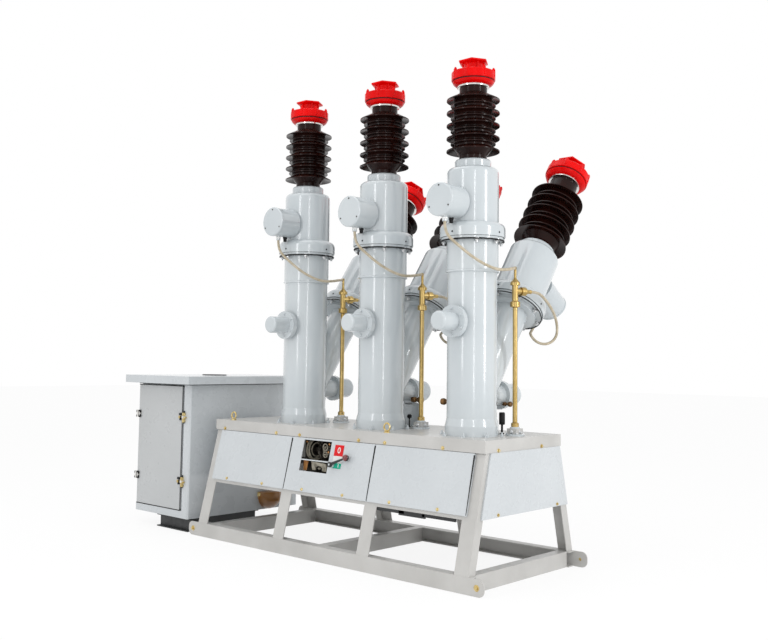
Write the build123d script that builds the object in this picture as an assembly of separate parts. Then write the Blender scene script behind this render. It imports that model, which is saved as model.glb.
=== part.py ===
from build123d import *
import os
from math import atan2, cos, degrees, pi, radians, sin, sqrt, tan

# Outdoor three-phase gas insulated breaker: three metal tanks on a splayed steel frame, each with
# an upright and a slanted porcelain bushing, and a control cabinet at the left end.
# Millimetres, +Z up. The origin is on the ground under the middle of the frame, -Y is the front.

# Frame
FRAME_LENGTH = 2158
FRAME_WIDTH = 700
FRAME_HEIGHT = 730
DECK_THICKNESS = 6
BAND_HEIGHT = 64
BAND_THICKNESS = 6
LEG_SPLAY_DEG = 13.52
LEG_FACE = 88
LEG_FLANGE = 56
LEG_THICKNESS = 6
LEG_LAP = 20
RAIL_HEIGHT = 84
RAIL_FLANGE = 60
RAIL_THICKNESS = 6
RAIL_LEDGE = 2
RAIL_OVERHANG = 90
RAIL_END_RADIUS = 34
LUG_BOLT_RADIUS = 9
CROSS_RAIL_LEFT = -940
CROSS_RAIL_MIDDLE = 35

# Sheet panels round the frame
PANEL_WIDTH = 678
PANEL_JOINT = 4
PANEL_DEPTH = 14
PANEL_SHEET = 2.5
PANEL_TOP_GAP = 6
PANEL_BOTTOM = 358
LEDGE_BOTTOM = 340
LEDGE_HEIGHT = 42
LEDGE_THICKNESS = 5
END_PANEL_DEPTH = 10
END_PANEL_INSET = 32
END_PANEL_BOTTOM = 344

# Window, operating mechanism and hand lever in the middle front panel
WINDOW_LEFT = -232
WINDOW_WIDTH = 230
WINDOW_TOP = 650
WINDOW_BOTTOM = 474
WINDOW_DIVIDER = 534
WINDOW_DIVIDER_HEIGHT = 7
MECHANISM_PLATE = 8
MECHANISM_SIDE_GAP = 24
MECHANISM_DEPTH = 190
MECHANISM_FRONT_GAP = 22
MECHANISM_BOTTOM = 410
RATCHET_RADIUS = 66
RATCHET_TEETH = 22
RATCHET_TOOTH = 7
RATCHET_WIDTH = 16
RATCHET_HEIGHT = 590
SHAFT_RADIUS = 14
PINION_RADIUS = 34
SPRING_RADIUS = 52
SPRING_WIRE = 6
PLATE_WIDTH = 70
PLATE_THICKNESS = 2
RED_PLATE_HEIGHT = 59
WHITE_PLATE_HEIGHT = 39
GREEN_PLATE_HEIGHT = 34
PLATE_LEFT = 32
PLATE_TOP = 637
PLATE_GAP = 0.4
LEVER_X = 37
LEVER_Z = 523
LEVER_LENGTH = 125
LEVER_RISE_DEG = 22
LEVER_BALL_RADIUS = 18.5
LEVER_PIN_RADIUS = 6
LEVER_BOSS_RADIUS = 13
LEVER_BOSS_HEIGHT = 18
LEVER_HUB_RADIUS = 15
LEVER_HUB_HEIGHT = 14
PIN_CLEARANCE = 0.1
RUNNING_GAP = 0.3

# Shaft and cranks under the deck
LINK_SHAFT_RADIUS = 22
LINK_SHAFT_Y = 40
LINK_SHAFT_Z = 470
LINK_SHAFT_LENGTH = 1900
CRANK_LENGTH = 110
CRANK_WIDTH = 44
CRANK_THICKNESS = 20
PULL_ROD_RADIUS = 11
FORK_CHEEK = 9
FORK_DEPTH = 30
HANGER_WIDTH = 80
HANGER_THICKNESS = 12
HANGER_PITCH = 900

# Eye bolts on the deck
EYE_LEFT_X = -924
EYE_RIGHT_X = 402
EYE_INSET = 18
EYE_RING_RADIUS = 21
EYE_ROD_RADIUS = 5
EYE_COLLAR_RADIUS = 17
EYE_COLLAR_HEIGHT = 7

# Poles
POLE_PITCH = 660
POLE_X = 148
POLE_Y = -105
TANK_RADIUS = 135
FOOT_RADIUS = 144
FOOT_HEIGHT = 52
FOOT_TAPER = 40
WELD_HEIGHT = 1600
WELD_RADIUS = 145
WELD_WIDTH = 14
NECK_RADIUS = 141
FLANGE_HEIGHT = 1777
FLANGE_RADIUS = 178
TANK_FLANGE_RADIUS = 171
TANK_FLANGE_THICKNESS = 14
HOUSING_SKIRT = 44
HOUSING_RADIUS = 142
HOUSING_LENGTH = 384
SHOULDER_RADIUS = 30
COLLAR_RADIUS = 100
COLLAR_HEIGHT = 45

# Upright porcelain bushing, from its neck to its terminal
SHED_COUNT = 5
SHED_PITCH = 71
SHED_RADIUS = 146
SMALL_SHED_RADIUS = 124
CORE_RADIUS = 104
NECK_PORCELAIN_RADIUS = 76
LOWER_NECK_LENGTH = 46
SHED_DROOP = 22
SHED_LIP = 6
UPPER_NECK_LENGTH = 73
RING_RADIUS = 88
RING_HEIGHT = 14
TERMINAL_RADIUS = 125
TERMINAL_CONE = 40
TERMINAL_BODY = 46
TERMINAL_GROOVE = 5
TERMINAL_NECK_RADIUS = 61
TERMINAL_NECK_HEIGHT = 32
TERMINAL_HEAD_ACROSS = 150
TERMINAL_HEAD_HEIGHT = 28

# Slanted branch and its larger bushing
SLANT_DEG = 35
SLANT_ROOT_HEIGHT = 890
BRANCH_RADIUS = 100
BRANCH_COLLAR_RADIUS = 146
BRANCH_COLLAR_HEIGHT = 22
BRANCH_LENGTH = 647
SLANT_HOUSING_RADIUS = 148
SLANT_FLANGE_RADIUS = 184
SLANT_HOUSING_LENGTH = 406
SLANT_COLLAR_HEIGHT = 38
SLANT_COLLAR_RADIUS = 108
SLANT_SHED_PITCH = 84
SLANT_SHED_RADIUS = 160
SLANT_SMALL_SHED_RADIUS = 136
SLANT_CORE_RADIUS = 114
SLANT_NECK_RADIUS = 84
SLANT_UPPER_NECK = 137
SLANT_TERMINAL_RADIUS = 138

# Round terminal boxes of the current transformers
BOX_RADIUS = 90
BOX_HEIGHT = 1970
BOX_REACH = 295
SLANT_BOX_PLACE = 920
SLANT_BOX_REACH = 340
BOX_LID_THICKNESS = 14
BOX_LID_LIP = 2
BOX_ROUNDING = 8
GLAND_RADIUS = 13
GLAND_LENGTH = 22
GLAND_SETBACK = 52
SLANT_GLAND_SETBACK = 100

# Service ports on the tank
FRONT_PORT_HEIGHT = 1335
FRONT_PORT_FACE = 165
FRONT_PORT_RADIUS = 58
FRONT_PORT_FLANGE = 86
FRONT_CAP_RADIUS = 51
FRONT_CAP_REACH = 298
REAR_PORT_HEIGHT = 940
REAR_PORT_FACE = 257
REAR_PORT_RADIUS = 58
REAR_PORT_FLANGE = 80
REAR_CAP_RADIUS = 62
REAR_CAP_REACH = 400
PORT_FLANGE_THICKNESS = 14

# Brass conduit beside each pole and its two armoured hoses
CONDUIT_X = 163
CONDUIT_Y = 170
CONDUIT_RADIUS = 13
CONDUIT_BASE_SIZE = 62
CONDUIT_BASE_HEIGHT = 38
CONDUIT_TOP = 1540
CONDUIT_NUT_RADIUS = 21
CONDUIT_UNION_RADIUS = 27
CONDUIT_UNION_HEIGHT = 27
CONDUIT_UNION_PLACE = 1422
CONDUIT_TIP_RADIUS = 7
TEE_HEIGHT = 1508
TEE_LENGTH = 104
TEE_TURN_DEG = 20
TEE_RADIUS = 17
ELBOW_HEIGHT = 1634
ELBOW_REACH = (10, -22, -3)
HOSE_DIAMETER = 16

# Control cabinet
CABINET_LEFT = -1802
CABINET_WIDTH = 590
CABINET_FRONT = -463
CABINET_DEPTH = 946
CABINET_BOTTOM = 82
CABINET_TOP = 1004
CABINET_SHEET = 4
LID_OVERHANG = 69
LID_SKIRT = 52
LID_SHEET = 4
FRONT_RECESS = 25
FRONT_STRIP = 66
BOTTOM_STRIP = 47
DOOR_SIDE_GAP = 5
DOOR_LATCH_GAP = 22
DOOR_TOP_DROP = 69
DOOR_THICKNESS = 20
DOOR_SHEET = 3
DOORWAY_MARGIN = 34
DOOR_CORNER_RADIUS = 14
STRIP_BEVEL = 9
HINGE_HEIGHTS = (320, 737)
HINGE_LENGTH = 46
HINGE_RADIUS = 7
HINGE_PIN_RADIUS = 3.5
HINGE_OFFSET = 8
HINGE_FORWARD = 3
HINGE_LEAF = 3
HINGE_LEAF_LENGTH = 42
LATCH_HEIGHT = 46
LATCH_WIDTH = 22
BEARER_LEFT = -1558
BEARER_RIGHT = -1219
BEARER_FRONT = -455
BEARER_BACK = 140
BEARER_FLANGE = 36
BEARER_THICKNESS = 7
LINK_COVER_Y = 220
LINK_COVER_RADIUS = 92
LINK_COVER_REACH = 96
LINK_COVER_TOP = 205

# Places worked out from the sizes above
DECK_UNDERSIDE = FRAME_HEIGHT - DECK_THICKNESS
BAND_BOTTOM = FRAME_HEIGHT - BAND_HEIGHT
SPLAY = tan(radians(LEG_SPLAY_DEG))
POLE_NAMES = ("left", "middle", "right")
POLE_PLACES = [POLE_X + POLE_PITCH * step for step in (-1, 0, 1)]
CABINET_RIGHT = CABINET_LEFT + CABINET_WIDTH
CABINET_BACK = CABINET_FRONT + CABINET_DEPTH
CABINET_MIDDLE = CABINET_LEFT + CABINET_WIDTH / 2
RECESS_FACE = CABINET_FRONT + FRONT_RECESS

os.makedirs("parts", exist_ok=True)


def save(name, *solids):
    """Write one sub-part, a single solid or several that lie apart."""
    shape = solids[0] if len(solids) == 1 else Compound(children=list(solids))
    export_step(shape, f"parts/{name}.step")


def block(low, high):
    """Box between two opposite corners."""
    size = [high[axis] - low[axis] for axis in range(3)]
    corner_box = Box(*size, align=(Align.MIN, Align.MIN, Align.MIN))
    return Pos(*low) * corner_box


def turned(points):
    """Solid turned about Z from a closed outline of (radius, height) points."""
    outline = make_face(Polyline(*points, close=True))
    return revolve(Plane.XZ * outline, Axis.Z)


def rod(start, end, radius):
    """Round bar between two points."""
    path = Vector(*end) - Vector(*start)
    return extrude(Plane(origin=start, z_dir=path) * Circle(radius), path.length)


def round_edge(solid, height, radius, rounding):
    """Round the circular edge of a turned solid at one height and radius."""
    edges = [
        edge for edge in solid.edges().filter_by(GeomType.CIRCLE)
        if abs(edge.center().Z - height) < 0.01 and abs(edge.radius - radius) < 0.01
    ]
    return fillet(edges, rounding)


def mirrored(solid):
    """The same piece on the rear side of the frame."""
    return mirror(solid, about=Plane.XZ)


def splay_y(height):
    """Distance of the legs' outer plane from the frame's middle at a height."""
    return FRAME_WIDTH / 2 - PANEL_DEPTH + SPLAY * (BAND_BOTTOM - height)


# Local frame of the splayed front: X along the frame, Y up the slope, Z outwards
FRONT_SLOPE = Plane(
    origin=(0, -splay_y(BAND_BOTTOM), BAND_BOTTOM), x_dir=(1, 0, 0), z_dir=(0, -1, SPLAY)
)
RAIL_FACE = splay_y(RAIL_HEIGHT) + RAIL_LEDGE
PANEL_FACE = PANEL_DEPTH * cos(radians(LEG_SPLAY_DEG))


def slope_y(height):
    """Place up the slope, in its local frame, of a point at a height."""
    return (height - BAND_BOTTOM) / cos(radians(LEG_SPLAY_DEG))


def base_rail():
    """Front channel on the ground, its web facing out and rounded at both ends."""
    length = FRAME_LENGTH + 2 * RAIL_OVERHANG
    web_plane = Plane(origin=(0, -RAIL_FACE, RAIL_HEIGHT / 2), z_dir=(0, 1, 0), x_dir=(1, 0, 0))
    web = extrude(web_plane * RectangleRounded(length, RAIL_HEIGHT, RAIL_END_RADIUS), RAIL_THICKNESS)
    for x in (-length / 2 + RAIL_OVERHANG / 2, length / 2 - RAIL_OVERHANG / 2):
        web -= extrude(web_plane * Pos(x, 0) * Circle(LUG_BOLT_RADIUS), RAIL_THICKNESS)
    half = length / 2 - RAIL_OVERHANG + RAIL_THICKNESS
    for z in (0, RAIL_HEIGHT - RAIL_THICKNESS):
        web += block((-half, -RAIL_FACE, z), (half, -RAIL_FACE + RAIL_FLANGE, z + RAIL_THICKNESS))
    return web


def cross_rail(web_x):
    """Channel between the two base rails, its web at web_x and its flanges towards -X."""
    reach = RAIL_FACE - RAIL_FLANGE
    rail = block((web_x - RAIL_THICKNESS, -reach, 0), (web_x, reach, RAIL_HEIGHT))
    for z in (0, RAIL_HEIGHT - RAIL_THICKNESS):
        rail += block((web_x - RAIL_FLANGE, -reach, z), (web_x, reach, z + RAIL_THICKNESS))
    return rail


def leg(left, flange_x):
    """Splayed angle from the rail's top to the deck, its flange starting at flange_x."""
    foot_y = -splay_y(RAIL_HEIGHT)
    face = Pos(left + LEG_FACE / 2, foot_y + LEG_THICKNESS / 2) * Rectangle(LEG_FACE, LEG_THICKNESS)
    flange_place = Pos(flange_x + LEG_THICKNESS / 2, foot_y + LEG_FLANGE / 2)
    section = face + flange_place * Rectangle(LEG_THICKNESS, LEG_FLANGE)
    rise = DECK_UNDERSIDE - RAIL_HEIGHT
    way = (0, SPLAY, 1)
    return extrude(Plane.XY.offset(RAIL_HEIGHT) * section, rise / cos(radians(LEG_SPLAY_DEG)), dir=way)


def leg_edges():
    """Left edge of each leg's face, from left to right."""
    half = FRAME_LENGTH / 2 - BAND_THICKNESS
    joint = PANEL_WIDTH / 2
    return [-half, -joint - LEG_LAP, joint - LEG_LAP, half - LEG_FACE]


def front_legs():
    edges = leg_edges()
    flanges = edges[:3] + [edges[3] + LEG_FACE - LEG_THICKNESS]
    return [leg(left, flange) for left, flange in zip(edges, flanges)]


def ledges():
    """Flat bars between the front legs, behind the lower edge of the panels."""
    edges = leg_edges()
    bars = []
    for left, right in zip(edges[:-1], edges[1:]):
        width = right - left - LEG_FACE
        middle = slope_y(LEDGE_BOTTOM + LEDGE_HEIGHT / 2)
        bar = FRONT_SLOPE * Pos(left + LEG_FACE + width / 2, middle) * Rectangle(width, LEDGE_HEIGHT)
        bars.append(extrude(bar, -LEDGE_THICKNESS))
    return bars


def panel(middle_x):
    """Folded sheet tray that stands on the legs' outer plane."""
    top = -PANEL_TOP_GAP
    bottom = slope_y(PANEL_BOTTOM)
    width = PANEL_WIDTH - PANEL_JOINT
    place = FRONT_SLOPE * Pos(middle_x, (top + bottom) / 2)
    tray = extrude(place * Rectangle(width, top - bottom), PANEL_FACE)
    inner = Rectangle(width - 2 * PANEL_SHEET, top - bottom - 2 * PANEL_SHEET)
    return tray - extrude(place * inner, PANEL_FACE - PANEL_SHEET)


def middle_panel():
    """Middle tray with its divided window and the boss of the hand lever."""
    tray = panel(0)
    for low, high in (
        (WINDOW_BOTTOM, WINDOW_DIVIDER),
        (WINDOW_DIVIDER + WINDOW_DIVIDER_HEIGHT, WINDOW_TOP),
    ):
        height = slope_y(high) - slope_y(low)
        place = Pos(WINDOW_LEFT + WINDOW_WIDTH / 2, slope_y(low) + height / 2)
        tray -= extrude(FRONT_SLOPE * place * Rectangle(WINDOW_WIDTH, height), PANEL_FACE)
    place = FRONT_SLOPE.offset(PANEL_FACE - PANEL_SHEET / 2) * Pos(LEVER_X, slope_y(LEVER_Z))
    tray += extrude(place * Circle(LEVER_BOSS_RADIUS), LEVER_BOSS_HEIGHT + PANEL_SHEET / 2)
    pin_length = LEVER_BOSS_HEIGHT + LEVER_HUB_HEIGHT + PANEL_SHEET / 2
    return tray + extrude(place * Circle(LEVER_PIN_RADIUS), pin_length)


def trip_lever():
    """Hand lever: hub on its pin, tapered arm and ball."""
    place = FRONT_SLOPE.offset(PANEL_FACE + LEVER_BOSS_HEIGHT + RUNNING_GAP)
    place = place * Pos(LEVER_X, slope_y(LEVER_Z)) * Rot(0, 0, LEVER_RISE_DEG)
    hub = extrude(place * Circle(LEVER_HUB_RADIUS), LEVER_HUB_HEIGHT)
    half = LEVER_HUB_RADIUS * 0.55
    arm_end = LEVER_LENGTH - LEVER_BALL_RADIUS * 0.8
    arm_outline = Polyline((0, -half), (arm_end, -half / 2), (arm_end, half / 2), (0, half), close=True)
    arm = extrude(place * Pos(0, 0, LEVER_HUB_HEIGHT * 0.3) * make_face(arm_outline), LEVER_HUB_HEIGHT / 2)
    ball = place * Pos(LEVER_LENGTH, 0, LEVER_HUB_HEIGHT / 2) * Sphere(LEVER_BALL_RADIUS)
    bore = extrude(place * Circle(LEVER_PIN_RADIUS + PIN_CLEARANCE), LEVER_HUB_HEIGHT)
    return hub + arm + ball - bore


def position_plates():
    """Red, white and green plates in a column on the middle panel, notched round the lever's boss."""
    notch_plane = FRONT_SLOPE.offset(PANEL_FACE)
    notch = Pos(LEVER_X, slope_y(LEVER_Z)) * Circle(LEVER_BOSS_RADIUS + RUNNING_GAP)
    plates = []
    top = slope_y(PLATE_TOP)
    for height in (RED_PLATE_HEIGHT, WHITE_PLATE_HEIGHT, GREEN_PLATE_HEIGHT):
        outline = Pos(PLATE_LEFT + PLATE_WIDTH / 2, top - height / 2) * Rectangle(PLATE_WIDTH, height)
        plates.append(extrude(notch_plane * (outline - notch), PLATE_THICKNESS))
        top -= height + PLATE_GAP
    return plates


def end_panel():
    """Right end tray, its edges following the splay of the legs."""
    top = BAND_BOTTOM
    low = END_PANEL_BOTTOM
    outline = Polyline(
        (-splay_y(top) + END_PANEL_INSET, top), (splay_y(top), top),
        (splay_y(low), low), (-splay_y(low) + END_PANEL_INSET, low), close=True,
    )
    face = make_face(outline)
    seat_x = FRAME_LENGTH / 2 - BAND_THICKNESS
    plane = Plane(origin=(seat_x, 0, 0), x_dir=(0, 1, 0), z_dir=(1, 0, 0))
    tray = extrude(plane * face, END_PANEL_DEPTH)
    hollow = offset(face, -PANEL_SHEET, kind=Kind.INTERSECTION)
    return tray - extrude(plane * hollow, END_PANEL_DEPTH - PANEL_SHEET)


def ratchet_outline():
    """Saw-toothed rim of the charging wheel."""
    step = 2 * pi / RATCHET_TEETH
    points = []
    for tooth in range(RATCHET_TEETH):
        for turn, radius in ((0, RATCHET_RADIUS), (0.25, RATCHET_RADIUS - RATCHET_TOOTH)):
            angle = (tooth + turn) * step
            points.append((radius * cos(angle), radius * sin(angle)))
    return make_face(Polyline(*points, close=True))


def mechanism():
    """Spring mechanism behind the window: side plates, shafts, toothed wheel, coil and cranks."""
    left = WINDOW_LEFT - MECHANISM_SIDE_GAP
    right = WINDOW_LEFT + WINDOW_WIDTH + MECHANISM_SIDE_GAP
    front = -splay_y(BAND_BOTTOM) + MECHANISM_FRONT_GAP
    back = front + MECHANISM_DEPTH
    body = block((left, back - MECHANISM_PLATE, MECHANISM_BOTTOM), (right, back, DECK_UNDERSIDE))
    for x in (left, right - MECHANISM_PLATE):
        low = (x, front, MECHANISM_BOTTOM)
        body += block(low, (x + MECHANISM_PLATE, back, DECK_UNDERSIDE))
    axle_y = front + RATCHET_RADIUS + RATCHET_TOOTH
    wheel_x = WINDOW_LEFT + WINDOW_WIDTH * 0.28
    wheel_plane = Plane(origin=(wheel_x, axle_y, RATCHET_HEIGHT), x_dir=(0, 1, 0), z_dir=(1, 0, 0))
    body += rod((left, axle_y, RATCHET_HEIGHT), (right, axle_y, RATCHET_HEIGHT), SHAFT_RADIUS)
    body += extrude(wheel_plane * ratchet_outline(), RATCHET_WIDTH)
    hub = Circle(SPRING_RADIUS) - Circle(SPRING_RADIUS - 2 * SPRING_WIRE)
    body += extrude(wheel_plane * hub, -RATCHET_WIDTH)
    pinion_x = wheel_x + WINDOW_WIDTH * 0.42
    body += rod((pinion_x, axle_y, RATCHET_HEIGHT), (pinion_x + RATCHET_WIDTH, axle_y, RATCHET_HEIGHT),
                PINION_RADIUS)
    lower_z = WINDOW_BOTTOM + SHAFT_RADIUS
    lower_y = front + MECHANISM_DEPTH / 3
    body += rod((left, lower_y, lower_z), (right, lower_y, lower_z), SHAFT_RADIUS)
    for share in (0.25, 0.55, 0.8):
        x = WINDOW_LEFT + WINDOW_WIDTH * share
        plane = Plane(origin=(x, lower_y, lower_z), x_dir=(0, 1, 0), z_dir=(1, 0, 0))
        crank = make_hull((Circle(SHAFT_RADIUS * 1.7) + Pos(-SHAFT_RADIUS, SHAFT_RADIUS * 3) *
                           Circle(SHAFT_RADIUS * 0.8)).edges())
        body += extrude(plane * crank, MECHANISM_PLATE)
    return body


def link_shaft():
    """Cross shaft under the deck with one crank for each pole."""
    half = LINK_SHAFT_LENGTH / 2
    shaft = rod((-half, LINK_SHAFT_Y, LINK_SHAFT_Z), (half, LINK_SHAFT_Y, LINK_SHAFT_Z), LINK_SHAFT_RADIUS)
    for x in POLE_PLACES:
        plane = Plane(origin=(x - CRANK_THICKNESS / 2, LINK_SHAFT_Y, LINK_SHAFT_Z),
                      x_dir=(0, 1, 0), z_dir=(1, 0, 0))
        ends = Circle(CRANK_WIDTH * 0.75) + Pos(-CRANK_LENGTH, 0) * Circle(CRANK_WIDTH / 2)
        shaft += extrude(plane * make_hull(ends.edges()), CRANK_THICKNESS)
    return shaft


def hanger(x):
    """Bearing plate that carries the cross shaft from the deck."""
    low = (x, LINK_SHAFT_Y - HANGER_WIDTH / 2, LINK_SHAFT_Z - HANGER_WIDTH / 2)
    high = (x + HANGER_THICKNESS, LINK_SHAFT_Y + HANGER_WIDTH / 2, DECK_UNDERSIDE)
    plate = block(low, high)
    bore = LINK_SHAFT_RADIUS + RUNNING_GAP
    return plate - rod((x, LINK_SHAFT_Y, LINK_SHAFT_Z), (x + HANGER_THICKNESS, LINK_SHAFT_Y, LINK_SHAFT_Z), bore)


def pull_rod(x):
    """Rod up to the deck, with a fork at its foot that takes the crank's end."""
    y = LINK_SHAFT_Y - CRANK_LENGTH
    slot = CRANK_THICKNESS / 2 + RUNNING_GAP
    slot_top = LINK_SHAFT_Z + CRANK_WIDTH * 0.7
    half_x = slot + FORK_CHEEK
    fork = block((x - half_x, y - FORK_DEPTH / 2, LINK_SHAFT_Z - FORK_DEPTH / 2),
                 (x + half_x, y + FORK_DEPTH / 2, slot_top + FORK_CHEEK))
    fork -= block((x - slot, y - FORK_DEPTH, LINK_SHAFT_Z - FORK_DEPTH),
                  (x + slot, y + FORK_DEPTH, slot_top))
    return fork + rod((x, y, slot_top), (x, y, DECK_UNDERSIDE), PULL_ROD_RADIUS)


def eye_bolt(x):
    """Lifting eye on the front edge of the deck."""
    y = -FRAME_WIDTH / 2 + EYE_INSET
    collar = Pos(x, y, FRAME_HEIGHT) * turned(
        [(0, 0), (EYE_COLLAR_RADIUS, 0), (EYE_COLLAR_RADIUS, EYE_COLLAR_HEIGHT), (0, EYE_COLLAR_HEIGHT)]
    )
    ring_z = FRAME_HEIGHT + EYE_COLLAR_HEIGHT + EYE_RING_RADIUS + EYE_ROD_RADIUS / 2
    ring = Pos(x, y, ring_z) * Rot(90, 0, 0) * Torus(EYE_RING_RADIUS, EYE_ROD_RADIUS)
    return collar + ring


def slanted(solid, pole_x):
    """Lean an upright solid of a branch back over the rear of its pole."""
    return Pos(pole_x, POLE_Y, SLANT_ROOT_HEIGHT) * Rot(-SLANT_DEG, 0, 0) * solid


def tank(pole_x):
    """Welded tank: foot, tube, neck, mounting flange, two ports and the slanted branch."""
    top = FLANGE_HEIGHT + TANK_FLANGE_THICKNESS
    body = turned([
        (0, FRAME_HEIGHT), (FOOT_RADIUS, FRAME_HEIGHT), (FOOT_RADIUS, FRAME_HEIGHT + FOOT_HEIGHT),
        (TANK_RADIUS, FRAME_HEIGHT + FOOT_HEIGHT + FOOT_TAPER), (TANK_RADIUS, WELD_HEIGHT),
        (WELD_RADIUS, WELD_HEIGHT + WELD_WIDTH / 4), (WELD_RADIUS, WELD_HEIGHT + WELD_WIDTH * 3 / 4),
        (NECK_RADIUS, WELD_HEIGHT + WELD_WIDTH), (NECK_RADIUS, FLANGE_HEIGHT),
        (TANK_FLANGE_RADIUS, FLANGE_HEIGHT), (TANK_FLANGE_RADIUS, top), (0, top),
    ])
    front_back = FRONT_PORT_FACE - PORT_FLANGE_THICKNESS
    body += rod((0, 0, FRONT_PORT_HEIGHT), (0, -FRONT_PORT_FACE, FRONT_PORT_HEIGHT), FRONT_PORT_RADIUS)
    body += rod((0, -front_back, FRONT_PORT_HEIGHT), (0, -FRONT_PORT_FACE, FRONT_PORT_HEIGHT),
                FRONT_PORT_FLANGE)
    rear_back = REAR_PORT_FACE - PORT_FLANGE_THICKNESS
    body += rod((0, 0, REAR_PORT_HEIGHT), (0, REAR_PORT_FACE, REAR_PORT_HEIGHT), REAR_PORT_RADIUS)
    body += rod((0, rear_back, REAR_PORT_HEIGHT), (0, REAR_PORT_FACE, REAR_PORT_HEIGHT), REAR_PORT_FLANGE)
    collar_low = BRANCH_LENGTH - BRANCH_COLLAR_HEIGHT
    branch_top = BRANCH_LENGTH + TANK_FLANGE_THICKNESS
    branch = turned([
        (0, 0), (BRANCH_RADIUS, 0), (BRANCH_RADIUS, collar_low), (BRANCH_COLLAR_RADIUS, collar_low),
        (BRANCH_COLLAR_RADIUS, BRANCH_LENGTH), (SLANT_FLANGE_RADIUS - 7, BRANCH_LENGTH),
        (SLANT_FLANGE_RADIUS - 7, branch_top), (0, branch_top),
    ])
    return Pos(pole_x, POLE_Y, 0) * body + slanted(branch, pole_x)


def housing(low, flange_radius, radius, length, collar_radius, collar_height):
    """Transformer housing turned about Z: skirt with a rounded top, drum, shoulder and collar."""
    skirt = low + HOUSING_SKIRT
    flare = flange_radius - radius
    top = low + length
    drum_top = top - SHOULDER_RADIUS
    with BuildPart() as shell:
        with BuildSketch(Plane.XZ):
            with BuildLine():
                Polyline((0, low), (flange_radius, low), (flange_radius, skirt))
                RadiusArc((flange_radius, skirt), (radius, skirt + flare), -flare)
                Line((radius, skirt + flare), (radius, drum_top))
                RadiusArc((radius, drum_top), (radius - SHOULDER_RADIUS, top), -SHOULDER_RADIUS)
                Polyline((radius - SHOULDER_RADIUS, top), (collar_radius, top),
                         (collar_radius, top + collar_height), (0, top + collar_height), (0, low))
            make_face()
        revolve(axis=Axis.Z)
    return round_edge(shell.part, top + collar_height, collar_radius, collar_height / 4)


def bushing(low, lower_neck, count, pitch, shed, small_shed, core, neck, upper_neck):
    """Porcelain turned about Z: necks and alternating large and small drooping sheds."""
    points = [(0, low), (neck, low), (neck, low + lower_neck - SHED_DROOP)]
    for number in range(count):
        base = low + lower_neck + number * pitch
        points += [(core, base + SHED_DROOP * 0.6), (shed, base), (shed, base + SHED_LIP),
                   (core, base + SHED_DROOP + SHED_LIP)]
        if number < count - 1:
            middle = base + pitch / 2
            points += [(core, middle + SHED_DROOP * 0.4), (small_shed, middle + SHED_LIP),
                       (small_shed, middle + SHED_LIP * 2), (core, middle + SHED_DROOP)]
    last = low + lower_neck + (count - 1) * pitch
    points += [(neck, last + SHED_DROOP + SHED_LIP + (core - neck) / 2), (neck, last + upper_neck),
               (0, last + upper_neck)]
    return turned(points)


def bushing_length(lower_neck, count, pitch, upper_neck):
    return lower_neck + (count - 1) * pitch + upper_neck


def terminal(low, radius, share):
    """Terminal turned about Z: bright ring, cone, grooved body, neck and six-sided head."""
    ring_top = low + RING_HEIGHT
    cone_top = ring_top + TERMINAL_CONE * share
    groove_top = cone_top + TERMINAL_GROOVE
    body_top = groove_top + TERMINAL_BODY * share
    neck_top = body_top + TERMINAL_NECK_HEIGHT * share
    neck = TERMINAL_NECK_RADIUS * share
    ring = RING_RADIUS * share
    body = turned([
        (0, low), (ring, low), (ring, ring_top), (radius - TERMINAL_GROOVE, cone_top),
        (radius - TERMINAL_GROOVE, groove_top), (radius, groove_top),
        (radius, body_top - TERMINAL_GROOVE * 2), (radius - TERMINAL_GROOVE * 2, body_top),
        (neck, body_top), (neck, neck_top), (0, neck_top),
    ])
    head = RegularPolygon(TERMINAL_HEAD_ACROSS * share / 2, 6, major_radius=False)
    return body + extrude(Plane.XY.offset(neck_top) * head, TERMINAL_HEAD_HEIGHT * share)


def terminal_box(start, reach, place, side, gland_setback):
    """Round box beside a housing along Y, with a lid and a cable gland under it."""
    lid_start = (0, side * (reach - BOX_LID_THICKNESS), place)
    drum = rod((0, side * start, place), lid_start, BOX_RADIUS - BOX_LID_LIP)
    lid = rod(lid_start, (0, side * reach, place), BOX_RADIUS)
    rim = [edge for edge in lid.edges() if abs(edge.center().Y - side * reach) < 0.01]
    gland_y = side * (reach - gland_setback)
    gland = rod((0, gland_y, place), (0, gland_y, place - BOX_RADIUS - GLAND_LENGTH), GLAND_RADIUS)
    return drum + fillet(rim, BOX_ROUNDING) + gland


def front_cover():
    """Cover with its long cap on the front port."""
    face = -FRONT_PORT_FACE
    cover = rod((0, face, FRONT_PORT_HEIGHT), (0, face - PORT_FLANGE_THICKNESS, FRONT_PORT_HEIGHT),
                FRONT_PORT_FLANGE)
    cap = rod((0, face, FRONT_PORT_HEIGHT), (0, -FRONT_CAP_REACH, FRONT_PORT_HEIGHT), FRONT_CAP_RADIUS)
    rim = [edge for edge in cap.edges() if abs(edge.center().Y + FRONT_CAP_REACH) < 0.01]
    return cover + fillet(rim, FRONT_CAP_RADIUS / 4)


def rear_cover():
    """Cover with its domed cap on the rear port."""
    face = REAR_PORT_FACE
    cover = rod((0, face, REAR_PORT_HEIGHT), (0, face + PORT_FLANGE_THICKNESS, REAR_PORT_HEIGHT),
                REAR_PORT_FLANGE)
    cap = rod((0, face, REAR_PORT_HEIGHT), (0, REAR_CAP_REACH, REAR_PORT_HEIGHT), REAR_CAP_RADIUS)
    rim = [edge for edge in cap.edges() if abs(edge.center().Y - REAR_CAP_REACH) < 0.01]
    return cover + fillet(rim, REAR_CAP_RADIUS / 2)


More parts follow.
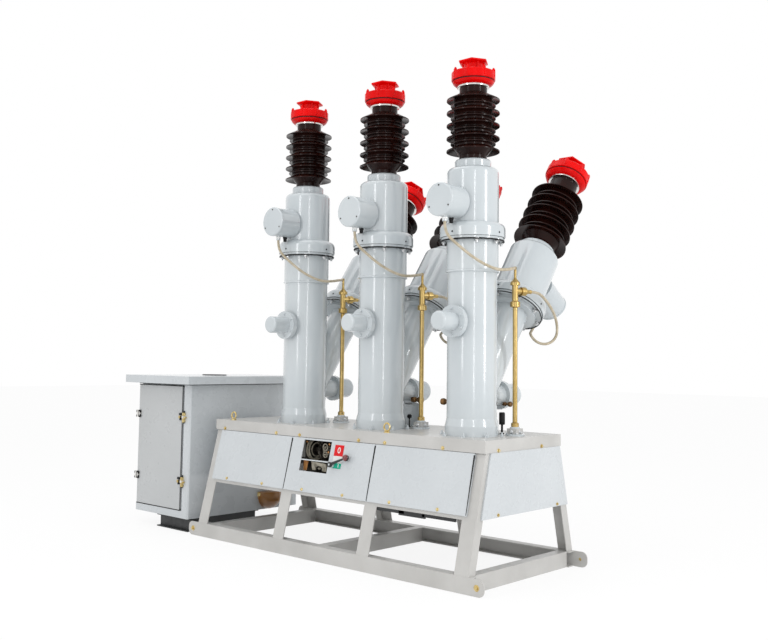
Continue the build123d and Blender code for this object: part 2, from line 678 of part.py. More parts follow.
def conduit():
    """Brass riser with its unions, side arm and elbow, about its own axis."""
    low = FRAME_HEIGHT + CONDUIT_BASE_HEIGHT
    union_top = CONDUIT_UNION_PLACE + CONDUIT_UNION_HEIGHT
    riser = turned([
        (0, low), (CONDUIT_NUT_RADIUS, low), (CONDUIT_NUT_RADIUS, low + CONDUIT_UNION_HEIGHT),
        (CONDUIT_RADIUS, low + CONDUIT_UNION_HEIGHT + 6), (CONDUIT_RADIUS, CONDUIT_UNION_PLACE - 4),
        (CONDUIT_UNION_RADIUS, CONDUIT_UNION_PLACE), (CONDUIT_UNION_RADIUS, union_top),
        (CONDUIT_RADIUS + 4, union_top + 5), (CONDUIT_RADIUS + 4, CONDUIT_TOP),
        (CONDUIT_UNION_RADIUS, CONDUIT_TOP), (CONDUIT_UNION_RADIUS, CONDUIT_TOP + 14),
        (CONDUIT_RADIUS - 2, CONDUIT_TOP + 32), (CONDUIT_TIP_RADIUS, CONDUIT_TOP + 40),
        (CONDUIT_TIP_RADIUS, ELBOW_HEIGHT), (0, ELBOW_HEIGHT),
    ])
    riser += Pos(0, 0, ELBOW_HEIGHT) * Sphere(CONDUIT_TIP_RADIUS + 2)
    nipple_end = (ELBOW_REACH[0], ELBOW_REACH[1], ELBOW_HEIGHT + ELBOW_REACH[2])
    riser += rod((0, 0, ELBOW_HEIGHT), nipple_end, CONDUIT_TIP_RADIUS + 2)
    tee = turned([
        (0, 0), (TEE_RADIUS, 0), (TEE_RADIUS, 34), (TEE_RADIUS + 7, 36), (TEE_RADIUS + 7, 64),
        (TEE_RADIUS, 66), (TEE_RADIUS - 6, TEE_LENGTH - 16), (TEE_RADIUS - 6, TEE_LENGTH), (0, TEE_LENGTH),
    ])
    return riser + Pos(0, 0, TEE_HEIGHT) * Rot(0, 0, -TEE_TURN_DEG) * Rot(-90, 0, 0) * tee


# Hose routes, relative to the pole's axis in plan and to the ground
UPPER_HOSE = [
    (0, -243, 1857.5), (2, -243, 1812), (30, -234, 1767), (78, -212, 1722), (128, -180, 1672),
    (172, -124, 1630), (198, -50, 1607), (204, 28, 1612), (196, 97, 1624), (173.2, 147.6, 1630.9),
]
LOWER_HOSE = [
    (198.7, 268.1, 1508), (214.8, 312.2, 1508), (218, 368, 1482), (212, 440, 1440), (206, 498, 1392),
    (196, 540, 1338), (190, 549, 1284), (176, 534, 1248), (156, 503, 1228), (131, 471, 1228),
    (102, 449, 1248), (70, 454, 1284), (42, 505, 1298), (20, 556, 1316), (5, 602, 1340),
    (0, 626, 1365), (0, 659.7, 1413.7),
]


def hose(points, label):
    """Round hose on straight runs joined by tangent arcs, as large as the runs allow."""
    route = [Vector(*point) for point in points]
    radii = []
    for before, corner, after in zip(route[:-2], route[1:-1], route[2:]):
        arriving = corner - before
        leaving = after - corner
        turn = radians(arriving.get_angle(leaving))
        radii.append(0.45 * min(arriving.length, leaving.length) / tan(turn / 2))
    path = FilletPolyline(*route, radius=radii)
    start = Plane(origin=path @ 0, z_dir=path % 0)
    tube = sweep(start * Circle(HOSE_DIAMETER / 2), path=path)
    expected = pi * HOSE_DIAMETER ** 2 / 4 * path.length
    print(label, "length", round(path.length), "volume ratio", round(tube.volume / expected, 4),
          "radii", [round(radius) for radius in radii])
    return tube


def cabinet_walls():
    """Left, back and right walls, one folded sheet open to the front."""
    wall_top = CABINET_TOP - LID_SHEET
    outer = block((CABINET_LEFT, RECESS_FACE, CABINET_BOTTOM), (CABINET_RIGHT, CABINET_BACK, wall_top))
    low = (CABINET_LEFT + CABINET_SHEET, RECESS_FACE, CABINET_BOTTOM)
    high = (CABINET_RIGHT - CABINET_SHEET, CABINET_BACK - CABINET_SHEET, wall_top)
    return outer - block(low, high)


def cabinet_floor():
    low = (CABINET_LEFT + CABINET_SHEET, RECESS_FACE + CABINET_SHEET, CABINET_BOTTOM)
    high = (CABINET_RIGHT - CABINET_SHEET, CABINET_BACK - CABINET_SHEET, CABINET_BOTTOM + CABINET_SHEET)
    return block(low, high)


def door_edges():
    """Left, right, bottom and top edge of the cabinet door."""
    left = CABINET_LEFT + DOOR_SIDE_GAP
    right = CABINET_RIGHT - FRONT_STRIP - DOOR_LATCH_GAP
    bottom = CABINET_BOTTOM + BOTTOM_STRIP + DOOR_SIDE_GAP
    return left, right, bottom, CABINET_TOP - DOOR_TOP_DROP


def cabinet_front_frame():
    """Recessed frame round the doorway, with the raised strips at its right and below it."""
    left, right, bottom, top = door_edges()
    plate_top = CABINET_TOP - LID_SHEET
    inner_left = CABINET_LEFT + CABINET_SHEET
    inner_right = CABINET_RIGHT - CABINET_SHEET
    frame = block((inner_left, RECESS_FACE, CABINET_BOTTOM + CABINET_SHEET),
                  (inner_right, RECESS_FACE + CABINET_SHEET, plate_top))
    frame -= block((left + DOORWAY_MARGIN, RECESS_FACE, bottom + DOORWAY_MARGIN),
                   (right - DOORWAY_MARGIN, RECESS_FACE + CABINET_SHEET, top - DOORWAY_MARGIN))
    strip_top = CABINET_TOP - LID_SHEET
    with BuildSketch(Plane.XZ.offset(-CABINET_FRONT)) as strips:
        with Locations(((CABINET_LEFT + CABINET_RIGHT) / 2, CABINET_BOTTOM)):
            Rectangle(CABINET_WIDTH, BOTTOM_STRIP, align=(Align.CENTER, Align.MIN))
        with Locations((CABINET_RIGHT, CABINET_BOTTOM)):
            Rectangle(FRONT_STRIP, strip_top - CABINET_BOTTOM, align=(Align.MAX, Align.MIN))
        corner = [point for point in strips.vertices()
                  if abs(point.X - CABINET_RIGHT + FRONT_STRIP) < 1
                  and abs(point.Z - CABINET_BOTTOM - BOTTOM_STRIP) < 1]
        fillet(corner, DOOR_CORNER_RADIUS)
    raised = extrude(strips.sketch, -FRONT_RECESS)
    bevel = [edge for edge in raised.edges().filter_by(Axis.Z)
             if abs(edge.center().X - CABINET_RIGHT) < 1 and abs(edge.center().Y - CABINET_FRONT) < 1]
    return frame + chamfer(bevel, STRIP_BEVEL)


def cabinet_lid():
    """Folded lid with a skirt all round."""
    low = (CABINET_LEFT - LID_OVERHANG, CABINET_FRONT - LID_OVERHANG, CABINET_TOP - LID_SKIRT)
    high = (CABINET_RIGHT + LID_OVERHANG, CABINET_BACK + LID_OVERHANG, CABINET_TOP)
    inner_low = (low[0] + LID_SHEET, low[1] + LID_SHEET, low[2])
    inner_high = (high[0] - LID_SHEET, high[1] - LID_SHEET, CABINET_TOP - LID_SHEET)
    return block(low, high) - block(inner_low, inner_high)


def cabinet_door():
    """Folded door tray, open towards the cabinet."""
    left, right, bottom, top = door_edges()
    middle = ((left + right) / 2, (bottom + top) / 2)
    face = Plane.XZ.offset(-CABINET_FRONT)
    back = face.offset(-DOOR_THICKNESS)
    outline = RectangleRounded(right - left, top - bottom, DOOR_CORNER_RADIUS / 2)
    inner = RectangleRounded(right - left - 2 * DOOR_SHEET, top - bottom - 2 * DOOR_SHEET,
                             DOOR_CORNER_RADIUS / 3)
    tray = extrude(face * Pos(*middle) * outline, -DOOR_THICKNESS)
    return tray - extrude(back * Pos(*middle) * inner, DOOR_THICKNESS - DOOR_SHEET)


def hinge_axis():
    return CABINET_LEFT - HINGE_OFFSET, CABINET_FRONT - HINGE_FORWARD


def fixed_hinge(height):
    """Lower half of a hinge: leaf on the cabinet's side, knuckle and upright pin."""
    x, y = hinge_axis()
    half = HINGE_LENGTH / 2
    low = height - half
    leaf = block((CABINET_LEFT - HINGE_LEAF, y, low), (CABINET_LEFT, y + HINGE_LEAF_LENGTH + HINGE_FORWARD,
                                                       height - RUNNING_GAP))
    knuckle = rod((x, y, low), (x, y, height - RUNNING_GAP), HINGE_RADIUS)
    pin = rod((x, y, low), (x, y, height + half), HINGE_PIN_RADIUS)
    return leaf + knuckle + pin


def door_hinge(height):
    """Upper half of a hinge: leaf on the door's face and bored knuckle."""
    x, y = hinge_axis()
    top = height + HINGE_LENGTH / 2
    leaf = block((x, CABINET_FRONT - HINGE_LEAF, height + RUNNING_GAP),
                 (x + HINGE_LEAF_LENGTH, CABINET_FRONT, top))
    knuckle = rod((x, y, height + RUNNING_GAP), (x, y, top), HINGE_RADIUS)
    bore = rod((x, y, height), (x, y, top), HINGE_PIN_RADIUS + PIN_CLEARANCE)
    return leaf + knuckle - bore


def door_latch(height):
    """Latch on the strip beside the door."""
    left = CABINET_RIGHT - FRONT_STRIP
    low = (left, CABINET_FRONT - 4, height - LATCH_HEIGHT / 2)
    plate = block(low, (left + LATCH_WIDTH, CABINET_FRONT, height + LATCH_HEIGHT / 2))
    middle = left + LATCH_WIDTH / 2
    return plate + rod((middle, CABINET_FRONT, height), (middle, CABINET_FRONT - 20, height), 9)


def cross_bearer(web_y, side):
    """Channel across under the cabinet, its flanges pointing to one side."""
    tip = web_y + side * BEARER_FLANGE
    low_y, high_y = sorted((web_y, tip))
    web_low, web_high = sorted((web_y, web_y + side * BEARER_THICKNESS))
    bearer = block((BEARER_LEFT, web_low, 0), (BEARER_RIGHT, web_high, CABINET_BOTTOM))
    for z in (0, CABINET_BOTTOM - BEARER_THICKNESS):
        bearer += block((BEARER_LEFT, low_y, z), (BEARER_RIGHT, high_y, z + BEARER_THICKNESS))
    return bearer


def side_bearer(web_x, side):
    """Channel along the cabinet between the two cross bearers."""
    front = BEARER_FRONT + BEARER_FLANGE
    back = BEARER_BACK - BEARER_FLANGE
    low_x, high_x = sorted((web_x, web_x + side * BEARER_FLANGE))
    web_low, web_high = sorted((web_x, web_x + side * BEARER_THICKNESS))
    bearer = block((web_low, front, 0), (web_high, back, CABINET_BOTTOM))
    for z in (0, CABINET_BOTTOM - BEARER_THICKNESS):
        bearer += block((low_x, front, z), (high_x, back, z + BEARER_THICKNESS))
    return bearer


def link_cover():
    """Rounded hood over the drive link, on the cabinet's right wall."""
    bowl_z = LINK_COVER_TOP - LINK_COVER_RADIUS / 3
    bowl = Pos(CABINET_RIGHT, LINK_COVER_Y, bowl_z) * Sphere(LINK_COVER_RADIUS)
    reach = LINK_COVER_RADIUS + LINK_COVER_REACH
    keep = block((CABINET_RIGHT, LINK_COVER_Y - reach, bowl_z - reach),
                 (CABINET_RIGHT + LINK_COVER_REACH, LINK_COVER_Y + reach, LINK_COVER_TOP))
    return bowl & keep


save("base_rails", base_rail(), mirrored(base_rail()))
half_length = FRAME_LENGTH / 2
rail_places = (CROSS_RAIL_LEFT, CROSS_RAIL_MIDDLE, half_length - BAND_THICKNESS)
save("cross_rails", *[cross_rail(x) for x in rail_places])
save("front_legs", *front_legs())
save("rear_legs", *[mirrored(piece) for piece in front_legs()])
half_width = FRAME_WIDTH / 2
save("deck_plate", block((-half_length, -half_width, DECK_UNDERSIDE), (half_length, half_width, FRAME_HEIGHT)))
front_band = block((-half_length, -half_width, BAND_BOTTOM),
                   (half_length, -half_width + BAND_THICKNESS, DECK_UNDERSIDE))
save("deck_side_bands", front_band, mirrored(front_band))
band_reach = half_width - BAND_THICKNESS
end_band = block((half_length - BAND_THICKNESS, -band_reach, BAND_BOTTOM),
                 (half_length, band_reach, DECK_UNDERSIDE))
save("deck_end_bands", end_band, mirror(end_band, about=Plane.YZ))
save("front_side_panels", panel(-PANEL_WIDTH), panel(PANEL_WIDTH))
save("front_middle_panel", middle_panel())
save("rear_panels", *[mirrored(panel(PANEL_WIDTH * step)) for step in (-1, 0, 1)])
save("end_panels", end_panel(), mirror(end_panel(), about=Plane.YZ))
save("panel_ledges", *ledges(), *[mirrored(bar) for bar in ledges()])
save("position_plates", *position_plates())
save("trip_lever", trip_lever())
save("mechanism", mechanism())
save("link_shaft", link_shaft())
save("shaft_hangers", *[hanger(HANGER_PITCH * step - HANGER_THICKNESS / 2) for step in (-1, 0, 1)])
save("pull_rods", *[pull_rod(x) for x in POLE_PLACES])
save("eye_bolts", eye_bolt(EYE_LEFT_X), eye_bolt(EYE_RIGHT_X))

upright_top = FLANGE_HEIGHT + TANK_FLANGE_THICKNESS
upright_bushing = upright_top + HOUSING_LENGTH + COLLAR_HEIGHT
slant_top = BRANCH_LENGTH + TANK_FLANGE_THICKNESS
slant_bushing = slant_top + SLANT_HOUSING_LENGTH + SLANT_COLLAR_HEIGHT
conduit_bases = []
for name, pole_x in zip(POLE_NAMES, POLE_PLACES):
    pole = Pos(pole_x, POLE_Y, 0)
    save(f"tank_{name}", tank(pole_x))
    save(f"housings_{name}",
         pole * housing(upright_top, FLANGE_RADIUS, HOUSING_RADIUS, HOUSING_LENGTH,
                        COLLAR_RADIUS, COLLAR_HEIGHT),
         slanted(housing(slant_top, SLANT_FLANGE_RADIUS, SLANT_HOUSING_RADIUS, SLANT_HOUSING_LENGTH,
                         SLANT_COLLAR_RADIUS, SLANT_COLLAR_HEIGHT), pole_x))
    save(f"bushings_{name}",
         pole * bushing(upright_bushing, LOWER_NECK_LENGTH, SHED_COUNT, SHED_PITCH, SHED_RADIUS,
                        SMALL_SHED_RADIUS, CORE_RADIUS, NECK_PORCELAIN_RADIUS, UPPER_NECK_LENGTH),
         slanted(bushing(slant_bushing, LOWER_NECK_LENGTH, SHED_COUNT, SLANT_SHED_PITCH,
                         SLANT_SHED_RADIUS, SLANT_SMALL_SHED_RADIUS, SLANT_CORE_RADIUS,
                         SLANT_NECK_RADIUS, SLANT_UPPER_NECK), pole_x))
    upright_end = upright_bushing + bushing_length(LOWER_NECK_LENGTH, SHED_COUNT, SHED_PITCH,
                                                   UPPER_NECK_LENGTH)
    slant_end = slant_bushing + bushing_length(LOWER_NECK_LENGTH, SHED_COUNT, SLANT_SHED_PITCH,
                                               SLANT_UPPER_NECK)
    share = SLANT_TERMINAL_RADIUS / TERMINAL_RADIUS
    save(f"terminals_{name}", pole * terminal(upright_end, TERMINAL_RADIUS, 1),
         slanted(terminal(slant_end, SLANT_TERMINAL_RADIUS, share), pole_x))
    box = terminal_box(HOUSING_RADIUS, BOX_REACH, BOX_HEIGHT, -1, GLAND_SETBACK)
    slant_box = terminal_box(SLANT_HOUSING_RADIUS, SLANT_BOX_REACH, SLANT_BOX_PLACE, 1,
                             SLANT_GLAND_SETBACK)
    save(f"terminal_boxes_{name}", pole * box, slanted(slant_box, pole_x))
    save(f"service_covers_{name}", pole * front_cover(), pole * rear_cover())
    save(f"conduit_{name}", Pos(CONDUIT_X, CONDUIT_Y, 0) * pole * conduit())
    save(f"hoses_{name}", pole * hose(UPPER_HOSE, "upper hose"), pole * hose(LOWER_HOSE, "lower hose"))
    base_x = pole_x + CONDUIT_X
    base_y = POLE_Y + CONDUIT_Y
    reach = CONDUIT_BASE_SIZE / 2
    conduit_bases.append(block((base_x - reach, base_y - reach, FRAME_HEIGHT),
                               (base_x + reach, base_y + reach, FRAME_HEIGHT + CONDUIT_BASE_HEIGHT)))
save("conduit_bases", *conduit_bases)

save("cabinet_walls", cabinet_walls())
save("cabinet_floor", cabinet_floor())
save("cabinet_front_frame", cabinet_front_frame())
save("cabinet_lid", cabinet_lid())
save("cabinet_door", cabinet_door())
save("fixed_hinge_leaves", *[fixed_hinge(height) for height in HINGE_HEIGHTS])
save("door_hinge_leaves", *[door_hinge(height) for height in HINGE_HEIGHTS])
save("door_latches", *[door_latch(height) for height in HINGE_HEIGHTS])
save("cabinet_cross_bearers", cross_bearer(BEARER_FRONT + BEARER_FLANGE, -1),
     cross_bearer(BEARER_BACK - BEARER_FLANGE, 1))
save("cabinet_side_bearers", side_bearer(BEARER_RIGHT, -1), side_bearer(BEARER_LEFT, 1))
save("drive_link_cover", link_cover())
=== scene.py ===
from math import cos, pi, radians, sin, tan
from typing import NamedTuple

import bmesh
import bpy
from mathutils import Matrix, Vector


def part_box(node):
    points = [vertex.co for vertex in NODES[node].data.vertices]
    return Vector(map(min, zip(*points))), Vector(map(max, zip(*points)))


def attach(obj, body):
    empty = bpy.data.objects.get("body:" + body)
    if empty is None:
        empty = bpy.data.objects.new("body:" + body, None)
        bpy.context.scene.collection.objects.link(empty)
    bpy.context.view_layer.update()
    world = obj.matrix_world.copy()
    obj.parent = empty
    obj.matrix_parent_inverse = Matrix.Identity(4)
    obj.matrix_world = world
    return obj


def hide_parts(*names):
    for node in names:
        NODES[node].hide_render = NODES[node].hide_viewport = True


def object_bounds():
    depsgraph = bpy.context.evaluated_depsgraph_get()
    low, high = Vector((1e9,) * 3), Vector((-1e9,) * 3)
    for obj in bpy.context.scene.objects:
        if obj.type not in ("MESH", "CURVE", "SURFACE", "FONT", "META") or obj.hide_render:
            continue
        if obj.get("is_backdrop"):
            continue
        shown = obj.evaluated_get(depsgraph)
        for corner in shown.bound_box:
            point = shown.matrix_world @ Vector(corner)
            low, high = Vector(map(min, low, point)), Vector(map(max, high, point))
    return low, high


# Looks of an outdoor three-phase gas insulated breaker. Metres, in the frame of the model:
# +Z up, -Y the front, the origin on the ground under the middle of the steel frame.

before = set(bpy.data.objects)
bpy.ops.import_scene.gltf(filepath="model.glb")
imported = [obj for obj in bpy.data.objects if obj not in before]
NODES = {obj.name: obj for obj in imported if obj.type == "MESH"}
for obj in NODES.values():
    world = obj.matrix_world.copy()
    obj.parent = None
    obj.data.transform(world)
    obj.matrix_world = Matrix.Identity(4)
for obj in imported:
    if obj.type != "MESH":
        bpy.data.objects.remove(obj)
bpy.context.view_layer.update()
scene = bpy.context.scene

UP = Vector((0, 0, 1))
DOWN = Vector((0, 0, -1))
FRONT = Vector((0, -1, 0))
RIGHT = Vector((1, 0, 0))
FACING = Matrix.Rotation(pi / 2, 4, "X")  # stands the XY plane up, with its Z axis to the front


# Places read from the model
def middle_x(node):
    low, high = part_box(node)
    return (low.x + high.x) / 2


POLES = ("left", "middle", "right")
POLE_X = {name: middle_x(f"tank_{name}") for name in POLES}
POLE_Y = -0.105
DECK_LOW, DECK_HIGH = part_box("deck_plate")
DECK_TOP = DECK_HIGH.z
BAND_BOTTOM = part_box("deck_side_bands")[0].z
RAIL_LOW, RAIL_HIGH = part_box("base_rails")

# Splayed front of the steel frame, which the rear mirrors
SPLAY_ANGLE = radians(13.52)
SPLAY = tan(SPLAY_ANGLE)
SLOPE_RISE = cos(SPLAY_ANGLE)  # height gained per length along the slope
SLOPE_Y = 0.336  # the legs' outer plane at the deck band's lower edge
PANEL_FACE = 0.014  # the panels' face before that plane
OUTWARD = Vector((0, -1, SPLAY)).normalized()
SLOPE_TURN = Matrix((RIGHT, Vector((0, SPLAY, 1)).normalized(), OUTWARD)).transposed().to_4x4()

# Position plates on the middle panel
PLATE_FACE = PANEL_FACE + 0.0016
PLATE_TOP = 0.637
RED_PLATE = 0.0592
WHITE_PLATE = 0.0394
RED_EDGE = PLATE_TOP - RED_PLATE * SLOPE_RISE
WHITE_EDGE = RED_EDGE - WHITE_PLATE * SLOPE_RISE


# Mesh helpers
def aim(point, normal):
    """Frame at a point with its Z axis along a direction."""
    return Matrix.Translation(point) @ Vector(normal).to_track_quat("Z", "X").to_matrix().to_4x4()


def ellipse(radius_x, radius_y, sides):
    """Outline of an ellipse about the origin."""
    angles = [2 * pi * step / sides for step in range(sides)]
    return [(radius_x * cos(angle), radius_y * sin(angle)) for angle in angles]


def circle(radius, sides=48):
    return ellipse(radius, radius, sides)


def rounded(width, height, radius, steps=5):
    """Outline of a rectangle with round corners, about its middle."""
    points = []
    for number, (side_x, side_y) in enumerate(((1, 1), (-1, 1), (-1, -1), (1, -1))):
        for step in range(steps + 1):
            angle = pi / 2 * (number + step / steps)
            points.append((side_x * (width / 2 - radius) + radius * cos(angle),
                           side_y * (height / 2 - radius) + radius * sin(angle)))
    return points


def ring(bm, place, outline, height):
    """Vertices along an outline in the XY plane of a place, raised to a height."""
    return [bm.verts.new(place @ Vector((x, y, height))) for x, y in outline]


def bridge(bm, rings):
    """Faces between each ring of vertices and the next."""
    for lower, upper in zip(rings[:-1], rings[1:]):
        for step in range(len(lower)):
            after = (step + 1) % len(lower)
            bm.faces.new((lower[step], lower[after], upper[after], upper[step]))


def closed(bm, rings):
    """Solid through rings of vertices, capped at both ends."""
    bridge(bm, rings)
    bm.faces.new(list(reversed(rings[0])))
    bm.faces.new(rings[-1])


def lathe(bm, profile, place, sides=24):
    """Solid turned about the Z axis of a place, from (radius, height) points on the axis at both ends."""
    closed(bm, [ring(bm, place, circle(radius, sides), height) for radius, height in profile[1:-1]])


def slab(bm, outline, place, low, high):
    """Plate from an outline in the XY plane of a place, between two heights."""
    closed(bm, [ring(bm, place, outline, height) for height in (low, high)])


def ring_plate(bm, place, outer, inner, low, high):
    """Flat ring between two outlines and two heights of a place."""
    corners = ((outer, low), (outer, high), (inner, high), (inner, low))
    rings = [ring(bm, place, outline, height) for outline, height in corners]
    bridge(bm, rings + rings[:1])


def plate_xz(bm, outline, y_low, y_high):
    """Plate from an outline in the XZ plane."""
    slab(bm, outline, Matrix.Translation((0, y_low, 0)) @ FACING, y_low - y_high, 0)


def piece(name, bm, material, body="root", bevel=0.0):
    """Object from a mesh, riding on a body."""
    bmesh.ops.recalc_face_normals(bm, faces=bm.faces)
    mesh = bpy.data.meshes.new(name)
    bm.to_mesh(mesh)
    bm.free()
    mesh.materials.append(material)
    mesh.shade_smooth()
    mesh.set_sharp_from_angle(angle=radians(32))
    made = bpy.data.objects.new(name, mesh)
    scene.collection.objects.link(made)
    if bevel:
        edge = made.modifiers.new("edge", "BEVEL")
        edge.width = bevel
        edge.segments = 2
        edge.limit_method = "ANGLE"
        edge.harden_normals = True
    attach(made, body)
    return made


def hex_bolt(bm, place, across, head, stud=0.0):
    """Six-sided bolt head on a washer, with a stud end past it where it is a nut."""
    washer = head * 0.2
    lathe(bm, [(0, 0), (across * 0.82, 0), (across * 0.82, washer * 0.7), (across * 0.76, washer), (0, washer)],
          place, 20)
    radius = across / 2 / cos(pi / 6)
    top = washer + head
    lathe(bm, [(0, washer), (radius * 0.98, washer), (radius, washer + head * 0.1), (radius, top - head * 0.18),
               (radius * 0.86, top), (0, top)], place, 6)
    if stud:
        lathe(bm, [(0, top), (across * 0.3, top), (across * 0.3, top + stud * 0.8),
                   (across * 0.24, top + stud), (0, top + stud)], place, 12)


# Materials: every finish drifts between two tones, most with a fine grain in their relief
def connect(tree, value, socket):
    """Feed a socket from another one, or set it to a number or colour."""
    if isinstance(value, bpy.types.NodeSocket):
        tree.links.new(value, socket)
    else:
        socket.default_value = value


def calculated(tree, operation, first, second):
    node = tree.nodes.new("ShaderNodeMath")
    node.operation = operation
    connect(tree, first, node.inputs[0])
    connect(tree, second, node.inputs[1])
    return node.outputs["Value"]


def mixed(tree, share, first, second, blend="MIX"):
    """Colour that blends from the first to the second."""
    node = tree.nodes.new("ShaderNodeMix")
    node.data_type = "RGBA"
    node.blend_type = blend
    connect(tree, share, node.inputs["Factor"])
    connect(tree, first, node.inputs["A"])
    connect(tree, second, node.inputs["B"])
    return node.outputs["Result"]


def noise(tree, vector, scale, detail=3.0, roughness=0.5):
    node = tree.nodes.new("ShaderNodeTexNoise")
    node.inputs["Scale"].default_value = scale
    node.inputs["Detail"].default_value = detail
    node.inputs["Roughness"].default_value = roughness
    tree.links.new(vector, node.inputs["Vector"])
    return node.outputs["Fac"]


def ramp(tree, value, stops):
    """Colour that follows a value, from (value, colour) stops."""
    node = tree.nodes.new("ShaderNodeValToRGB")
    colours = node.color_ramp
    while len(colours.elements) < len(stops):
        colours.elements.new(0.5)
    for element, (place, colour) in zip(colours.elements, stops):
        element.position = place
        element.color = (*colour, 1.0)
    tree.links.new(value, node.inputs["Fac"])
    return node.outputs["Color"]


NOISE_LOW = 0.3
NOISE_HIGH = 0.7


def spread(tree, value, low, high):
    """Noise stretched over a range of numbers."""
    node = tree.nodes.new("ShaderNodeMapRange")
    node.inputs["From Min"].default_value = NOISE_LOW
    node.inputs["From Max"].default_value = NOISE_HIGH
    node.inputs["To Min"].default_value = low
    node.inputs["To Max"].default_value = high
    tree.links.new(value, node.inputs["Value"])
    return node.outputs["Result"]


def finish(name, dark, light, patch=3.0, rough=(0.3, 0.4), metal=0.0, coat=0.0, specular=0.5, grain=400.0,
           relief=0.0001, stain=None):
    """Material that drifts from a dark to a light tone in patches, and may carry sparse stains."""
    made = bpy.data.materials.new(name)
    made.use_nodes = True
    tree = made.node_tree
    shader = tree.nodes["Principled BSDF"]
    shader.inputs["Metallic"].default_value = metal
    shader.inputs["Coat Weight"].default_value = coat
    shader.inputs["Coat Roughness"].default_value = 0.06
    shader.inputs["Specular IOR Level"].default_value = specular
    vector = tree.nodes.new("ShaderNodeTexCoord").outputs["Object"]
    colour = ramp(tree, noise(tree, vector, patch), [(NOISE_LOW, dark), (NOISE_HIGH, light)])
    if stain:
        spots = noise(tree, vector, stain["scale"], 6.0, 0.65)
        mask = ramp(tree, spots, [(stain["from"], (0, 0, 0)), (stain["from"] + 0.05, (1, 1, 1))])
        colour = mixed(tree, mask, colour, (*stain["colour"], 1))
    tree.links.new(colour, shader.inputs["Base Color"])
    tree.links.new(spread(tree, noise(tree, vector, patch * 6), *rough), shader.inputs["Roughness"])
    if relief:
        bump = tree.nodes.new("ShaderNodeBump")
        bump.inputs["Strength"].default_value = 0.5
        bump.inputs["Distance"].default_value = relief
        tree.links.new(noise(tree, vector, grain, 2.0), bump.inputs["Height"])
        tree.links.new(bump.outputs["Normal"], shader.inputs["Normal"])
    return made


RUST = {"scale": 14.0, "from": 0.74, "colour": (0.42, 0.26, 0.08)}
FRAME_PAINT = finish("frame_paint", (0.475, 0.468, 0.45), (0.55, 0.543, 0.525), 5.0, (0.32, 0.45), coat=0.15,
                     grain=260.0, relief=0.00008, stain=RUST)
PANEL_PAINT = finish("panel_paint", (0.53, 0.56, 0.58), (0.58, 0.61, 0.63), 2.0, (0.24, 0.32), coat=0.4,
                     grain=220.0, relief=0.00002)
DOOR_PAINT = finish("door_paint", (0.465, 0.48, 0.485), (0.51, 0.525, 0.532), 2.0, (0.26, 0.34), coat=0.3,
                    grain=220.0, relief=0.00002)
TANK_PAINT = finish("tank_paint", (0.50, 0.545, 0.57), (0.56, 0.60, 0.62), 2.5, (0.16, 0.24), coat=0.8,
                    grain=70.0, relief=0.00007)
PORCELAIN = finish("porcelain", (0.008, 0.0022, 0.0016), (0.022, 0.0050, 0.0032), 9.0, (0.20, 0.28), coat=0.08,
                   relief=0.0, specular=0.12)
TERMINAL_RED = finish("terminal_red", (0.62, 0.001, 0.001), (0.80, 0.002, 0.002), 12.0, (0.24, 0.34),
                      relief=0.0, specular=0.12)
BRASS = finish("brass", (0.42, 0.29, 0.10), (0.56, 0.41, 0.17), 9.0, (0.30, 0.38), metal=1.0, relief=0.0)
HOSE_SKIN = finish("hose_skin", (0.38, 0.32, 0.22), (0.56, 0.49, 0.37), 40.0, (0.34, 0.46), grain=900.0,
                   relief=0.0001)
BLACK_PAINT = finish("black_paint", (0.012, 0.013, 0.014), (0.028, 0.03, 0.031), 6.0, (0.38, 0.55), grain=300.0,
                     relief=0.0004)
# Black for the rubber parts, and for the dark strips of painted shade and shadow
BLACK_RUBBER_AND_SHADE = finish("black_rubber_and_shade", (0.006, 0.006, 0.007), (0.016, 0.016, 0.017), 30.0, (0.4, 0.6),
                      grain=600.0, relief=0.0001, specular=0.2)
YELLOW_ZINC = finish("yellow_zinc", (0.50, 0.34, 0.09), (0.78, 0.66, 0.36), 60.0, (0.22, 0.38), metal=0.9,
                     grain=900.0, relief=0.0001)
ZINC = finish("zinc", (0.55, 0.56, 0.57), (0.74, 0.75, 0.76), 50.0, (0.22, 0.38), metal=0.9, grain=900.0,
              relief=0.0001)
CHROME = finish("chrome", (0.62, 0.61, 0.58), (0.82, 0.81, 0.79), 40.0, (0.08, 0.18), metal=1.0, grain=300.0,
                relief=0.00005)
BROWN_PAINT = finish("brown_paint", (0.22, 0.085, 0.012), (0.36, 0.15, 0.022), 8.0, (0.3, 0.45), coat=0.3,
                     grain=200.0, relief=0.0003)
DARK_STEEL = finish("dark_steel", (0.022, 0.02, 0.017), (0.10, 0.09, 0.075), 26.0, (0.28, 0.5), metal=0.7,
                    grain=500.0, relief=0.0003)
VALVE_BRONZE = finish("valve_bronze", (0.09, 0.045, 0.02), (0.24, 0.13, 0.05), 30.0, (0.3, 0.45), metal=0.8,
                      grain=500.0, relief=0.0002)
BALL_RED = finish("ball_red", (0.12, 0.004, 0.006), (0.2, 0.008, 0.01), 20.0, (0.12, 0.2), coat=1.0,
                  grain=300.0, relief=0.00005)
MARK_WHITE = finish("mark_white", (0.78, 0.78, 0.77), (0.86, 0.86, 0.85), 30.0, (0.3, 0.4), grain=500.0,
                    relief=0.00005)
WORKS_STEEL = finish("works_steel", (0.16, 0.145, 0.11), (0.50, 0.46, 0.37), 40.0, (0.25, 0.45), metal=0.15,
                     grain=500.0, relief=0.00005)
COPPER = finish("copper", (0.42, 0.17, 0.05), (0.62, 0.30, 0.10), 30.0, (0.25, 0.4), metal=0.3, grain=500.0,
                relief=0.00005)


